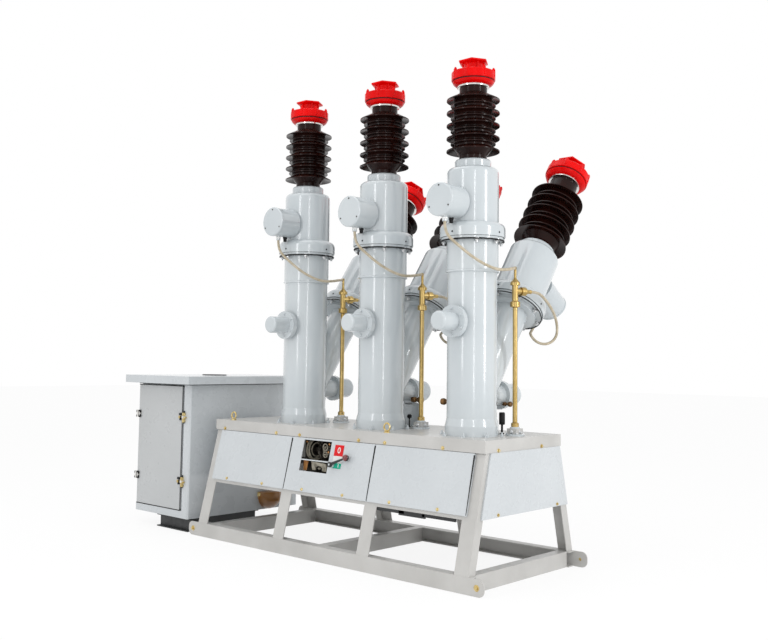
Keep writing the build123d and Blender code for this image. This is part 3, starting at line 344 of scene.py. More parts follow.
def banded(name, tones, edges):
    """Enamel whose tone changes at given heights, the lowest tone first."""
    made = finish(name, tones[0], tones[0], 3.0, (0.2, 0.3), coat=0.1, specular=0.2, grain=300.0, relief=0.00002)
    tree = made.node_tree
    place = tree.nodes.new("ShaderNodeTexCoord").outputs["Object"]
    split = tree.nodes.new("ShaderNodeSeparateXYZ")
    tree.links.new(place, split.inputs["Vector"])
    colour = (*tones[0], 1)
    for tone, edge in zip(tones[1:], edges):
        above = calculated(tree, "GREATER_THAN", split.outputs["Z"], edge)
        colour = mixed(tree, above, colour, (*tone, 1))
    tint = ramp(tree, noise(tree, place, 40.0), [(NOISE_LOW, (0.88, 0.88, 0.88)), (NOISE_HIGH, (1, 1, 1))])
    shaded = mixed(tree, 1.0, colour, tint, "MULTIPLY")
    tree.links.new(shaded, tree.nodes["Principled BSDF"].inputs["Base Color"])
    return made


GREEN = (0.02, 0.42, 0.27)
WHITE = (0.78, 0.79, 0.78)
RED = (0.70, 0.008, 0.012)
ENAMEL = banded("enamel", (GREEN, WHITE, RED), (WHITE_EDGE, RED_EDGE))


# Finishes of the model's own parts
def paint(material, *nodes):
    for node in nodes:
        made = NODES[node]
        if not made.data.materials:
            made.data.materials.append(material)
        for place in made.material_slots:
            place.material = material


paint(FRAME_PAINT, "base_rails", "cross_rails", "front_legs", "rear_legs", "deck_plate", "deck_side_bands",
      "deck_end_bands", "panel_ledges", "shaft_hangers", "conduit_bases")
paint(PANEL_PAINT, "front_side_panels", "front_middle_panel", "rear_panels", "end_panels", "cabinet_walls",
      "cabinet_front_frame", "cabinet_lid", "cabinet_floor")
paint(DOOR_PAINT, "cabinet_door")
paint(ENAMEL, "position_plates")
paint(DARK_STEEL, "mechanism", "link_shaft", "pull_rods")
paint(YELLOW_ZINC, "eye_bolts")
paint(BLACK_PAINT, "cabinet_cross_bearers", "cabinet_side_bearers", "trip_lever")
paint(BROWN_PAINT, "drive_link_cover")
paint(CHROME, "fixed_hinge_leaves", "door_hinge_leaves", "door_latches")
for pole in POLES:
    paint(TANK_PAINT, f"tank_{pole}", f"housings_{pole}", f"terminal_boxes_{pole}", f"service_covers_{pole}")
    paint(PORCELAIN, f"bushings_{pole}")
    paint(TERMINAL_RED, f"terminals_{pole}")
    paint(BRASS, f"conduit_{pole}")


# Frames of a pole: upright, and slanted back about the branch's root
SLANT = radians(35)
BRANCH_ROOT = 0.890


def upright(pole):
    return Matrix.Translation((POLE_X[pole], POLE_Y, 0))


def slanted(pole):
    return Matrix.Translation((POLE_X[pole], POLE_Y, BRANCH_ROOT)) @ Matrix.Rotation(-SLANT, 4, "X")


class Bushing(NamedTuple):
    """Sizes of a bushing's housing and terminal, along its axis and out from it."""
    flange: float  # underside of the tank's flange
    nuts: float  # radius of the ring of nuts
    gasket: float  # outer radius of the gasket
    shadow_ring: float  # height of the dark ring under the flange's lower rim, painted shadow
    skirt: float  # radius of the housing's skirt
    plugs: float  # height of the plugs on the skirt
    way: int  # side of the terminal box, -1 for the front
    lid: float  # face of the box's lid
    box: float  # height of the box's axis
    gland_y: float  # axis of the box's cable gland
    gland: float  # lower end of the gland
    terminal: float  # underside of the terminal
    share: float  # size of the terminal against the upright one


UPRIGHT = Bushing(flange=1.777, nuts=0.157, gasket=0.1735, shadow_ring=0.008, skirt=0.178, plugs=1.812, way=-1,
                  lid=0.295, box=1.970, gland_y=-0.243, gland=1.880, terminal=2.623, share=1.0)
SLANTED = Bushing(flange=0.647, nuts=0.162, gasket=0.1795, shadow_ring=0.005, skirt=0.184, plugs=0.684, way=1,
                  lid=0.340, box=0.920, gland_y=0.240, gland=0.830, terminal=1.624, share=1.104)
TANK_FLANGE = 0.014


def bushings(pole):
    """Frame and sizes of each bushing of a pole."""
    return (upright(pole), UPRIGHT), (slanted(pole), SLANTED)


def ring_places(place, radius, height, count, normal=None, first=0.0):
    """Frames round the axis of a place, their Z axes along one local direction or away from the axis."""
    places = []
    for step in range(count):
        angle = first + 2 * pi * step / count
        spot = place @ Vector((radius * cos(angle), radius * sin(angle), height))
        way = Vector((cos(angle), sin(angle), 0)) if normal is None else normal
        places.append(aim(spot, place.to_3x3() @ way))
    return places


# Nuts under the mounting flanges, small plugs on their skirts
PLUG = [(0, 0), (0.005, 0), (0.005, 0.003), (0.003, 0.004), (0, 0.004)]
PLUG_SINK = 0.001
for pole in POLES:
    bm = bmesh.new()
    for base, size in bushings(pole):
        for place in ring_places(base, size.nuts, size.flange, 8, DOWN):
            hex_bolt(bm, place, 0.022, 0.013, stud=0.010)
    piece(f"flange_nuts_{pole}", bm, ZINC)
    bm = bmesh.new()
    for base, size in bushings(pole):
        for place in ring_places(base, size.skirt - PLUG_SINK, size.plugs, 4):
            lathe(bm, PLUG, place, 10)
    piece(f"skirt_plugs_{pole}", bm, BLACK_RUBBER_AND_SHADE)


# Gasket line between the tank's flange and the housing, and a dark ring under the flange's lower rim: painted
# shadow
GASKET = 0.0024
GASKET_WIDTH = 0.006
SHADOW_RING_WIDTH = 0.004
for pole in POLES:
    bm = bmesh.new()
    for base, size in bushings(pole):
        joint = size.flange + TANK_FLANGE
        rim = circle(size.gasket, 64)
        ring_plate(bm, base, rim, circle(size.gasket - GASKET_WIDTH, 64), joint - GASKET / 2, joint + GASKET / 2)
        # Dark ring under the flange: painted shadow
        ring_plate(bm, base, rim, circle(size.gasket - SHADOW_RING_WIDTH, 64), size.flange - size.shadow_ring, size.flange)
    piece(f"gaskets_and_shadow_rings_{pole}", bm, BLACK_RUBBER_AND_SHADE)


# Bolts on the port covers and screws on the terminal boxes' lids
PORTS = (
    # side, height of the axis, bolted face from the pole's axis, radius of the bolts' ring
    (-1, 1.335, 0.179, 0.070),
    (1, 0.940, 0.271, 0.071),
)
LID_SCREW = [(0, 0), (0.0045, 0), (0.0045, 0.002), (0.003, 0.0035), (0, 0.0035)]
LID_SCREW_RING = 0.074
LID_SCREW_SINK = 0.0005
for pole in POLES:
    bm = bmesh.new()
    for way, height, face, radius in PORTS:
        cover = upright(pole) @ Matrix.Translation((0, way * face, height)) @ FACING
        for place in ring_places(cover, radius, 0, 6, UP * -way, pi / 6):
            hex_bolt(bm, place, 0.013, 0.007)
    piece(f"cover_bolts_{pole}", bm, TANK_PAINT)
    bm = bmesh.new()
    for base, size in bushings(pole):
        lid = base @ Matrix.Translation((0, size.way * (size.lid - LID_SCREW_SINK), size.box)) @ FACING
        for place in ring_places(lid, LID_SCREW_RING, 0, 3, UP * -size.way, pi / 2):
            lathe(bm, LID_SCREW, place, 12)
    piece(f"lid_screws_{pole}", bm, DARK_STEEL)


# White nuts of the cable glands, and a black plug beside the upright one
GLAND_NUT = [(0, 0), (0.0165, 0), (0.0165, 0.006), (0.0145, 0.008), (0.0145, 0.017), (0.011, 0.021), (0, 0.021)]
BOX_PLUG = [(0, 0), (0.014, 0), (0.014, 0.010), (0.011, 0.013), (0.011, 0.026), (0.008, 0.030), (0, 0.030)]
BOX_PLUG_PLACE = Vector((0, -0.188, 1.884))
for pole in POLES:
    bm = bmesh.new()
    for base, size in bushings(pole):
        lathe(bm, GLAND_NUT, aim(base @ Vector((0, size.gland_y, size.gland)), base.to_3x3() @ DOWN), 6)
    piece(f"gland_nuts_{pole}", bm, MARK_WHITE)
    bm = bmesh.new()
    lathe(bm, BOX_PLUG, aim(upright(pole) @ BOX_PLUG_PLACE, DOWN), 12)
    piece(f"box_plugs_{pole}", bm, BLACK_RUBBER_AND_SHADE)


# Terminals: bright ring, red bowl, groove darkened by a black ring of painted shade, flange with lugs and bolts,
# neck with fins and roofed head
TERMINAL_BOWL = [
    (0, 0.010), (0.088, 0.010), (0.098, 0.014), (0.110, 0.024), (0.1155, 0.034), (0.111, 0.035),
    (0.111, 0.040), (0.119, 0.041), (0.121, 0.044), (0.121, 0.084), (0.118, 0.088), (0.074, 0.090),
    (0.061, 0.095), (0.055, 0.103), (0.054, 0.133), (0.060, 0.138), (0, 0.138),
]
TERMINAL_HEAD = [
    (0, 0.136), (0.066, 0.136), (0.0836, 0.141), (0.0866, 0.143), (0.0866, 0.150), (0.0836, 0.152),
    (0.030, 0.162), (0.020, 0.165), (0, 0.165),
]
TERMINAL_FIN = [(0.049, 0.089), (0.070, 0.089), (0.060, 0.104), (0.064, 0.138), (0.049, 0.138)]
FIN_THICK = 0.006
LUG_RING = 0.1135
LUG = [(0, 0.052), (0.0085, 0.052), (0.0105, 0.055), (0.0105, 0.092), (0.0095, 0.094), (0, 0.094)]
LUG_BOLT = [(0, 0.093), (0.0085, 0.093), (0.0085, 0.100), (0.0072, 0.102), (0.0045, 0.1025), (0.0045, 0.106),
            (0, 0.106)]
TERMINAL_RING = [(0, -0.001), (0.084, -0.001), (0.0885, 0.001), (0.0885, 0.009), (0.087, 0.0105), (0, 0.0105)]
# Black ring that fills the groove: painted shade in the recess
TERMINAL_GROOVE_SHADE = [(0, 0.0345), (0.1135, 0.0345), (0.1135, 0.0405), (0, 0.0405)]


def terminal_body(bm, place):
    lathe(bm, TERMINAL_BOWL, place, 56)
    lathe(bm, TERMINAL_HEAD, place, 6)
    for step in range(6):
        fin = place @ Matrix.Rotation(pi / 6 + step * pi / 3, 4, "Z") @ FACING
        slab(bm, TERMINAL_FIN, fin, -FIN_THICK / 2, FIN_THICK / 2)
    for step in range(8):
        lug = place @ Matrix.Rotation(pi / 8 + step * pi / 4, 4, "Z") @ Matrix.Translation((LUG_RING, 0, 0))
        lathe(bm, LUG, lug, 16)
        lathe(bm, LUG_BOLT, lug, 6)


for pole in POLES:
    red, bright, dark = (bmesh.new() for _ in range(3))
    for base, size in bushings(pole):
        place = base @ Matrix.Translation((0, 0, size.terminal)) @ Matrix.Scale(size.share, 4)
        terminal_body(red, place)
        lathe(bright, TERMINAL_RING, place, 48)
        lathe(dark, TERMINAL_GROOVE_SHADE, place, 48)
    body = piece(f"terminal_bodies_{pole}", red, TERMINAL_RED)
    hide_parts(f"terminals_{pole}")
    piece(f"terminal_rings_{pole}", bright, CHROME)
    # Painted shade: the black ring in each groove
    piece(f"terminal_groove_shades_{pole}", dark, BLACK_RUBBER_AND_SHADE)


# Armoured hoses: ribbed tubes along a smooth line through listed points
HOSE_DIAMETER = 0.016
RIB_SPACING = 0.0022
RIB_DEPTH = 0.0007
UPPER_HOSE = [
    (0, -0.243, 1.8575), (0.002, -0.243, 1.812), (0.030, -0.234, 1.767), (0.078, -0.212, 1.722),
    (0.128, -0.180, 1.672), (0.172, -0.124, 1.630), (0.198, -0.050, 1.607), (0.204, 0.028, 1.612),
    (0.196, 0.097, 1.624), (0.1732, 0.1476, 1.6309),
]
LOWER_HOSE = [
    (0.1987, 0.2681, 1.508), (0.2148, 0.3122, 1.508), (0.218, 0.368, 1.482), (0.212, 0.440, 1.440),
    (0.206, 0.498, 1.392), (0.196, 0.540, 1.338), (0.190, 0.549, 1.284), (0.176, 0.534, 1.248),
    (0.156, 0.503, 1.228), (0.131, 0.471, 1.228), (0.102, 0.449, 1.248), (0.070, 0.454, 1.284),
    (0.042, 0.505, 1.298), (0.020, 0.556, 1.316), (0.005, 0.602, 1.340), (0, 0.626, 1.365),
    (0, 0.6597, 1.4137),
]


def smooth_line(points, steps):
    """Points along one open spline that has the route's points as its control points."""
    curve = bpy.data.curves.new("route", "CURVE")
    curve.dimensions = "3D"
    curve.resolution_u = steps
    spline = curve.splines.new("NURBS")
    spline.points.add(len(points) - 1)
    for point, place in zip(spline.points, points):
        point.co = (*place, 1)
    spline.order_u = 3
    spline.use_endpoint_u = True
    carrier = bpy.data.objects.new("route", curve)
    scene.collection.objects.link(carrier)
    bpy.context.view_layer.update()
    mesh = bpy.data.meshes.new_from_object(carrier)
    line = [vertex.co.copy() for vertex in mesh.vertices]
    bpy.data.objects.remove(carrier)
    bpy.data.meshes.remove(mesh)
    return line


def evenly(line, step):
    """The same line with its points a fixed distance apart."""
    lengths = [0.0]
    for before, after in zip(line[:-1], line[1:]):
        lengths.append(lengths[-1] + (after - before).length)
    count = round(lengths[-1] / step)
    points = []
    index = 0
    for number in range(count + 1):
        target = lengths[-1] * number / count
        while index < len(line) - 2 and lengths[index + 1] < target:
            index += 1
        span = lengths[index + 1] - lengths[index]
        points.append(line[index].lerp(line[index + 1], (target - lengths[index]) / span if span else 0))
    return points, lengths[-1]


def ribbed_tube(bm, points, radius, rib, sides=12):
    """Tube along points whose radius rises and falls from ring to ring."""
    across = (points[1] - points[0]).orthogonal().normalized()
    rings = []
    for number, point in enumerate(points):
        before = points[max(number - 1, 0)]
        after = points[min(number + 1, len(points) - 1)]
        along = (after - before).normalized()
        across = (across - along * across.dot(along)).normalized()
        other = along.cross(across)
        size = radius - (rib if number % 2 else 0.0)
        rings.append([bm.verts.new(point + size * (across * x + other * y)) for x, y in circle(1, sides)])
    closed(bm, rings)


def hose(name, route, pole):
    shift = Vector((POLE_X[pole], POLE_Y, 0))
    line = smooth_line([Vector(point) + shift for point in route], 24)
    points, length = evenly(line, RIB_SPACING)
    bm = bmesh.new()
    ribbed_tube(bm, points, HOSE_DIAMETER / 2, RIB_DEPTH)
    made = piece(name, bm, HOSE_SKIN)
    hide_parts(f"hoses_{pole}")


for pole in POLES:
    hose(f"upper_hose_{pole}", UPPER_HOSE, pole)
    hose(f"lower_hose_{pole}", LOWER_HOSE, pole)


# Bolts of the panels, the deck band and the rails
def sloped(x, height, proud):
    """Point on the splayed front at a height, standing off the legs' plane."""
    y = -(SLOPE_Y + SPLAY * (BAND_BOTTOM - height))
    return Vector((x, y, height)) + OUTWARD * proud


def on_slope(x, height, proud):
    """Frame lying on the splayed front, its Y axis up the slope."""
    return Matrix.Translation(sloped(x, height, proud)) @ SLOPE_TURN


def mirror_y(place):
    return Matrix.Scale(-1, 4, (0, 1, 0)) @ place


PANEL_BOLT = (0.011, 0.006)  # across the flats, height of the head
PANEL_BOLT_X = (-0.869, -0.532, -0.178, 0.152, 0.503, 0.832)
PANEL_BOLT_Z = 0.371
PANEL_BOLT_SEAT = PANEL_FACE - 0.0005
BAND_BOLT = (0.013, 0.007)
BAND_BOLT_X = (-0.986, -0.489, -0.280, 0.206, 0.404, 0.808)
BAND_BOLT_Z = BAND_BOTTOM + 0.010
END_BAND_BOLT_Y = (-0.237, 0.157)
END_PANEL_BOLT_Y = (-0.244, 0.305)
END_PANEL_BOLT_Z = 0.356
END_PANEL_FACE = DECK_HIGH.x + 0.004
bm = bmesh.new()
for x in PANEL_BOLT_X:
    place = aim(sloped(x, PANEL_BOLT_Z, PANEL_BOLT_SEAT), OUTWARD)
    hex_bolt(bm, place, *PANEL_BOLT)
    hex_bolt(bm, mirror_y(place), *PANEL_BOLT)
for x in BAND_BOLT_X:
    place = aim((x, DECK_LOW.y, BAND_BOLT_Z), FRONT)
    hex_bolt(bm, place, *BAND_BOLT)
    hex_bolt(bm, mirror_y(place), *BAND_BOLT)
for side in (-1, 1):
    for y in END_BAND_BOLT_Y:
        hex_bolt(bm, aim((side * DECK_HIGH.x, y, BAND_BOLT_Z), (side, 0, 0)), *BAND_BOLT)
    for y in END_PANEL_BOLT_Y:
        hex_bolt(bm, aim((side * END_PANEL_FACE, y, END_PANEL_BOLT_Z), (side, 0, 0)), *PANEL_BOLT)
piece("panel_bolts", bm, YELLOW_ZINC)

RAIL_BOLT_X = 1.124
RAIL_BOLT_Z = 0.042
bm = bmesh.new()
for side in (-1, 1):
    for y, way in ((RAIL_LOW.y, FRONT), (RAIL_HIGH.y, -FRONT)):
        hex_bolt(bm, aim((side * RAIL_BOLT_X, y, RAIL_BOLT_Z), way), 0.020, 0.008, stud=0.004)
piece("rail_bolts", bm, YELLOW_ZINC)

# Nuts that hold each pole's foot, and the plate, cap and screws of each conduit's base
FOOT_NUT_RING = 0.166
CONDUIT_X = 0.163
CONDUIT_Y = 0.170
BASE_PLATE = [(0, 0), (0.052, 0), (0.052, 0.007), (0.048, 0.009), (0, 0.009)]
BASE_CAP = [(0, 0.038), (0.027, 0.038), (0.027, 0.043), (0.022, 0.047), (0, 0.047)]
BASE_SCREW_RING = 0.043
BASE_SIDE = 0.031
for pole in POLES:
    bm = bmesh.new()
    for place in ring_places(upright(pole), FOOT_NUT_RING, DECK_TOP, 8, UP, pi / 8):
        hex_bolt(bm, place, 0.016, 0.010, stud=0.010)
    piece(f"foot_nuts_{pole}", bm, TANK_PAINT)
    axis = Vector((POLE_X[pole] + CONDUIT_X, POLE_Y + CONDUIT_Y, DECK_TOP))
    bm = bmesh.new()
    lathe(bm, BASE_PLATE, Matrix.Translation(axis), 40)
    lathe(bm, BASE_CAP, Matrix.Translation(axis), 32)
    piece(f"conduit_plates_{pole}", bm, TANK_PAINT)
    bm = bmesh.new()
    for place in ring_places(Matrix.Translation(axis), BASE_SCREW_RING, 0.008, 4, UP, pi / 4):
        hex_bolt(bm, place, 0.011, 0.006, stud=0.004)
    for way in (RIGHT, -RIGHT, FRONT):
        hex_bolt(bm, aim(axis + way * BASE_SIDE + UP * 0.020, way), 0.013, 0.008, stud=0.005)
    piece(f"conduit_screws_{pole}", bm, ZINC)


# Marks on the position plates: a ring on the red one, a bar on the green one
MARK_THICK = 0.0006
bm = bmesh.new()
ring_plate(bm, on_slope(0.069, 0.608, PLATE_FACE), ellipse(0.0115, 0.017, 40), ellipse(0.0065, 0.0115, 40),
           0, MARK_THICK)
slab(bm, rounded(0.005, 0.020, 0.001, 2), on_slope(0.082, 0.5245, PLATE_FACE), 0, MARK_THICK)
piece("plate_marks", bm, MARK_WHITE)

# Round cap over the hand lever's ball
LEVER_ANGLE = radians(22)
LEVER_LENGTH = 0.125
BALL_RISE = 0.0227
CAP_RADIUS = 0.0192
lever_pin = on_slope(0.037, 0.523, PLATE_FACE)
ball = lever_pin @ Matrix.Rotation(LEVER_ANGLE, 4, "Z") @ Vector((LEVER_LENGTH, 0, BALL_RISE))
cap_angles = [radians(angle) for angle in range(72, 2, -7)]
cap = [(CAP_RADIUS * sin(angle), CAP_RADIUS * cos(angle)) for angle in cap_angles]
bm = bmesh.new()
lathe(bm, [(0, 0.006), *cap, (0, CAP_RADIUS)], aim(ball, OUTWARD), 32)
piece("lever_cap", bm, BALL_RED, body="trip_lever")


# Support of the middle pole's rear port
SUPPORT_Y = POLE_Y + 0.243
SUPPORT_THICK = 0.012
SUPPORT_TOP = 0.872
middle = POLE_X["middle"]
bm = bmesh.new()
plate_xz(bm, [(middle - 0.120, DECK_TOP), (middle + 0.120, DECK_TOP), (middle + 0.085, SUPPORT_TOP),
              (middle - 0.085, SUPPORT_TOP)], SUPPORT_Y, SUPPORT_Y + SUPPORT_THICK)
piece("port_support", bm, TANK_PAINT, bevel=0.0015)

# Filling valves at the rear ports, and a larger one at the right tank's side
SMALL_VALVE = [(0, 0), (0.012, 0), (0.012, 0.018), (0.008, 0.022), (0.008, 0.036), (0.014, 0.040), (0.017, 0.048),
               (0.015, 0.058), (0.007, 0.062), (0, 0.062)]
LARGE_VALVE = [(0, 0), (0.020, 0), (0.018, 0.026), (0.010, 0.034), (0.008, 0.044), (0.015, 0.050), (0.019, 0.060),
               (0.017, 0.074), (0.007, 0.080), (0, 0.080)]
for pole, share in (("middle", 1.3), ("right", 0.9)):
    bm = bmesh.new()
    place = aim((POLE_X[pole] + 0.050, POLE_Y + 0.222, 0.893), RIGHT) @ Matrix.Scale(share, 4)
    lathe(bm, SMALL_VALVE, place, 20)
    if pole == "right":
        lathe(bm, LARGE_VALVE, aim((POLE_X[pole] - 0.130, POLE_Y, 0.902), -RIGHT), 20)
    piece(f"filling_valves_{pole}", bm, VALVE_BRONZE)

# Black knob behind the middle pole and black spool behind the right one
KNOB = [(0, 0), (0.010, 0), (0.010, 0.004), (0.004, 0.006), (0.004, 0.050), (0.0075, 0.052), (0.012, 0.056),
        (0.0145, 0.064), (0.012, 0.072), (0.0075, 0.076), (0, 0.077)]
SPOOL = [(0, 0), (0.012, 0), (0.012, 0.005), (0.006, 0.007), (0.006, 0.050), (0.0155, 0.052), (0.0165, 0.058),
         (0.0165, 0.110), (0.014, 0.118), (0, 0.120)]
bm = bmesh.new()
for profile, pole, across in ((KNOB, "middle", 0.047), (SPOOL, "right", 0.057)):
    lathe(bm, profile, aim((POLE_X[pole] + across, POLE_Y + 0.200, DECK_TOP), UP), 24)
piece("deck_knobs", bm, BLACK_RUBBER_AND_SHADE)


# Dark bar behind the lower ledge of the right front bay, in three lengths: part linkage, part painted shade of
# the bay behind the ledge
LINKAGE_SHADE_TOP = 0.352
LINKAGE_SHADE_FRONT = -0.4085
LINKAGE_SHADE_BACK = -0.398
bm = bmesh.new()
for start, stop, low in ((0.405, 0.60, 0.322), (0.56, 0.74, 0.314), (0.72, 0.94, 0.322)):
    plate_xz(bm, [(start, low), (stop, low), (stop, LINKAGE_SHADE_TOP), (start, LINKAGE_SHADE_TOP)],
             LINKAGE_SHADE_FRONT, LINKAGE_SHADE_BACK)
piece("linkage_and_shade_bar", bm, BLACK_PAINT, bevel=0.001)


# Works that show through the window: rings of the charging wheel, three gears, a yoke and its pin
AXLE_Y = -0.276
AXLE_Z = 0.592
WHEEL_RINGS = ((-0.2120, 0.063, 0.055), (-0.2110, 0.042, 0.036), (-0.2330, 0.062, 0.052))
WHEEL_RING_THICK = 0.004
GEARS = ((-0.088, -0.318, 0.616, 0.020), (-0.084, -0.322, 0.574, 0.017), (-0.112, -0.300, 0.596, 0.012))
GEAR_THICK = 0.005
GEAR_TEETH = 14
GEAR_PIN = [(0, -0.040), (0.005, -0.040), (0.005, 0.006), (0.004, 0.008), (0, 0.008)]
YOKE = [
    (-0.186, 0.528), (-0.070, 0.522), (-0.060, 0.514), (-0.060, 0.478), (-0.094, 0.478), (-0.094, 0.497),
    (-0.108, 0.505), (-0.136, 0.506), (-0.150, 0.498), (-0.150, 0.480), (-0.178, 0.480),
]
YOKE_PIN = [(0, 0), (0.006, 0), (0.006, 0.010), (0.004, 0.013), (0, 0.013)]
bm = bmesh.new()
for x, outer, inner in WHEEL_RINGS:
    ring_plate(bm, aim((x, AXLE_Y, AXLE_Z), RIGHT), circle(outer), circle(inner), 0, WHEEL_RING_THICK)
for x, y, z, radius in GEARS:
    gear = aim((x, y, z), FRONT)
    ring_plate(bm, gear, circle(radius), circle(radius * 0.80), 0, GEAR_THICK)
    root = radius - 0.001
    tip = radius + 0.003
    for step in range(GEAR_TEETH):
        tooth = gear @ Matrix.Rotation(2 * pi * step / GEAR_TEETH, 4, "Z")
        slab(bm, [(root, -0.0016), (tip, -0.0008), (tip, 0.0008), (root, 0.0016)], tooth, 0, GEAR_THICK)
    lathe(bm, GEAR_PIN, gear, 16)
plate_xz(bm, YOKE, -0.340, -0.332)
lathe(bm, YOKE_PIN, aim((-0.122, -0.330, 0.492), FRONT), 16)
piece("window_works", bm, WORKS_STEEL)

# Copper strap beside the yoke, and the heads of three screws
STRAP = [(-0.240, 0.474), (-0.220, 0.474), (-0.206, 0.526), (-0.226, 0.536), (-0.238, 0.530)]
SCREW_HEAD = [(0, 0), (0.006, 0), (0.006, 0.003), (0, 0.003)]
bm = bmesh.new()
plate_xz(bm, STRAP, -0.352, -0.344)
for x, z in ((-0.232, 0.640), (-0.044, 0.636), (-0.052, 0.590)):
    lathe(bm, SCREW_HEAD, aim((x, -0.330, z), FRONT), 12)
piece("window_strap", bm, COPPER)


# Painted shadow in the gaps between the front panels: black strips on the panels' face, wider at the top
GAP_LOW = 0.362
GAP_RISE = (0.652 - GAP_LOW) / SLOPE_RISE
GAP_SEAT = PANEL_FACE - 0.0003
GAP_THICK = 0.0006
SEAM_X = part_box("front_middle_panel")[1].x
PANELS_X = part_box("front_side_panels")[1].x
bm = bmesh.new()
for x, top, bottom in ((-SEAM_X, 0.011, 0.004), (SEAM_X, 0.011, 0.004), (PANELS_X, 0.010, 0.004)):
    outline = [(-bottom / 2, 0), (bottom / 2, 0), (top / 2, GAP_RISE), (-top / 2, GAP_RISE)]
    slab(bm, outline, on_slope(x, GAP_LOW, GAP_SEAT), 0, GAP_THICK)
piece("panel_gap_shadows", bm, BLACK_RUBBER_AND_SHADE)


# Dressings of the cabinet's hinges and latches
CABINET_LOW, CABINET_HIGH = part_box("cabinet_walls")
DOOR_LOW, DOOR_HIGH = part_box("cabinet_door")
FACE_Y = DOOR_LOW.y
HINGE_Z = (0.320, 0.737)


def door_parts(name, pieces):
    """Pieces of a hinge or latch, some fixed and some riding on the door."""
    for ending, bm, material, slot, body in pieces:
        piece(f"{name}_{ending}", bm, material, body=body, bevel=0.0008)

def front_blocks(edge_x, middle_z, rows):
    """Round-cornered blocks on the cabinet's front, from rows that say where each one lies from an edge of
    the door and a hinge's middle, how large it is, how far its face stands before the door's, how thick it
    is, and its corners' radius."""
    for bm, x, z, width, height, proud, thick, corner in rows:
        place = aim((edge_x + x, FACE_Y - proud + thick, middle_z + z), FRONT)
        slab(bm, rounded(width, height, corner, 4), place, 0, thick)


# Hinge: a bright cross with four black lobes about the door's hinged edge
fixed_dark, door_dark, fixed_bright, door_bright = (bmesh.new() for _ in range(4))
HINGE_BLOCKS = (
    (fixed_dark, -0.013, -0.015, 0.019, 0.020, 0.010, 0.012, 0.007),
    (door_dark, 0.015, -0.015, 0.021, 0.020, 0.010, 0.007, 0.007),
    (fixed_dark, -0.013, 0.015, 0.019, 0.020, 0.010, 0.012, 0.007),
    (door_dark, 0.015, 0.015, 0.021, 0.020, 0.010, 0.007, 0.007),
    (fixed_bright, -0.012, 0.0, 0.023, 0.009, 0.012, 0.014, 0.002),
    (door_bright, 0.015, 0.0, 0.026, 0.009, 0.012, 0.009, 0.002),
)
BARREL = [(0, -0.025), (0.0045, -0.025), (0.006, -0.023), (0.006, 0.023), (0.0045, 0.025), (0, 0.025)]
for height in HINGE_Z:
    front_blocks(DOOR_LOW.x, height, HINGE_BLOCKS)
    lathe(fixed_bright, BARREL, Matrix.Translation((DOOR_LOW.x - 0.002, FACE_Y - 0.010, height)), 20)
door_parts("hinge", (("lobes", fixed_dark, BLACK_RUBBER_AND_SHADE, "black_paint", "root"),
                     ("door_lobes", door_dark, BLACK_RUBBER_AND_SHADE, "black_paint", "cabinet_door"),
                     ("cross", fixed_bright, CHROME, "bright_metal", "root"),
                     ("door_cross", door_bright, CHROME, "bright_metal", "cabinet_door")))

# Latch: stepped gold blocks with black blocks either side of the door's free edge, painted shadow in its recesses
fixed_gold, fixed_dark, door_gold, door_dark = (bmesh.new() for _ in range(4))
LATCH_BLOCKS = (
    (fixed_gold, 0.032, 0.013, 0.032, 0.015, 0.017, 0.015, 0.004),
    (fixed_gold, 0.032, -0.019, 0.032, 0.015, 0.017, 0.015, 0.004),
    (fixed_gold, 0.043, -0.003, 0.010, 0.022, 0.015, 0.013, 0.002),
    # Dark blocks: painted shadow in the latch's recesses
    (fixed_dark, 0.029, -0.003, 0.020, 0.018, 0.012, 0.010, 0.002),
    (fixed_dark, 0.030, 0.025, 0.030, 0.008, 0.010, 0.008, 0.002),
    (fixed_dark, 0.030, -0.030, 0.024, 0.006, 0.010, 0.008, 0.002),
    (door_dark, -0.011, 0.018, 0.014, 0.022, 0.010, 0.008, 0.002),
    (door_gold, -0.012, -0.001, 0.018, 0.014, 0.015, 0.013, 0.004),
    (door_dark, -0.011, -0.016, 0.013, 0.014, 0.009, 0.007, 0.002),
)
for height in HINGE_Z:
    front_blocks(DOOR_HIGH.x, height, LATCH_BLOCKS)
door_parts("latch", (("blocks", fixed_gold, YELLOW_ZINC, "zinc_steel", "root"),
                     ("recess_shadows", fixed_dark, BLACK_RUBBER_AND_SHADE, "black_paint", "root"),
                     ("door_blocks", door_gold, YELLOW_ZINC, "zinc_steel", "cabinet_door"),
                     ("door_recess_shadows", door_dark, BLACK_RUBBER_AND_SHADE, "black_paint", "cabinet_door")))

# Dark band that shows round the door's edge, but for its hinged side: part seal, part painted shadow of the
# door's gap
SEAL_AND_SHADOW = 0.006
SEAL_AND_SHADOW_LEFT = DOOR_LOW.x - 0.003
SEAL_AND_SHADOW_RIGHT = DOOR_HIGH.x + SEAL_AND_SHADOW
bm = bmesh.new()
for x0, x1, z0, z1 in (
    (SEAL_AND_SHADOW_LEFT, SEAL_AND_SHADOW_RIGHT, DOOR_HIGH.z, DOOR_HIGH.z + SEAL_AND_SHADOW),
    (SEAL_AND_SHADOW_LEFT, SEAL_AND_SHADOW_RIGHT, DOOR_LOW.z - SEAL_AND_SHADOW, DOOR_LOW.z),
    (DOOR_HIGH.x, SEAL_AND_SHADOW_RIGHT, DOOR_LOW.z, DOOR_HIGH.z),
):
    plate_xz(bm, [(x0, z0), (x1, z0), (x1, z1), (x0, z1)], FACE_Y - 0.0012, FACE_Y - 0.0002)
piece("door_seal_and_shadow", bm, BLACK_RUBBER_AND_SHADE)

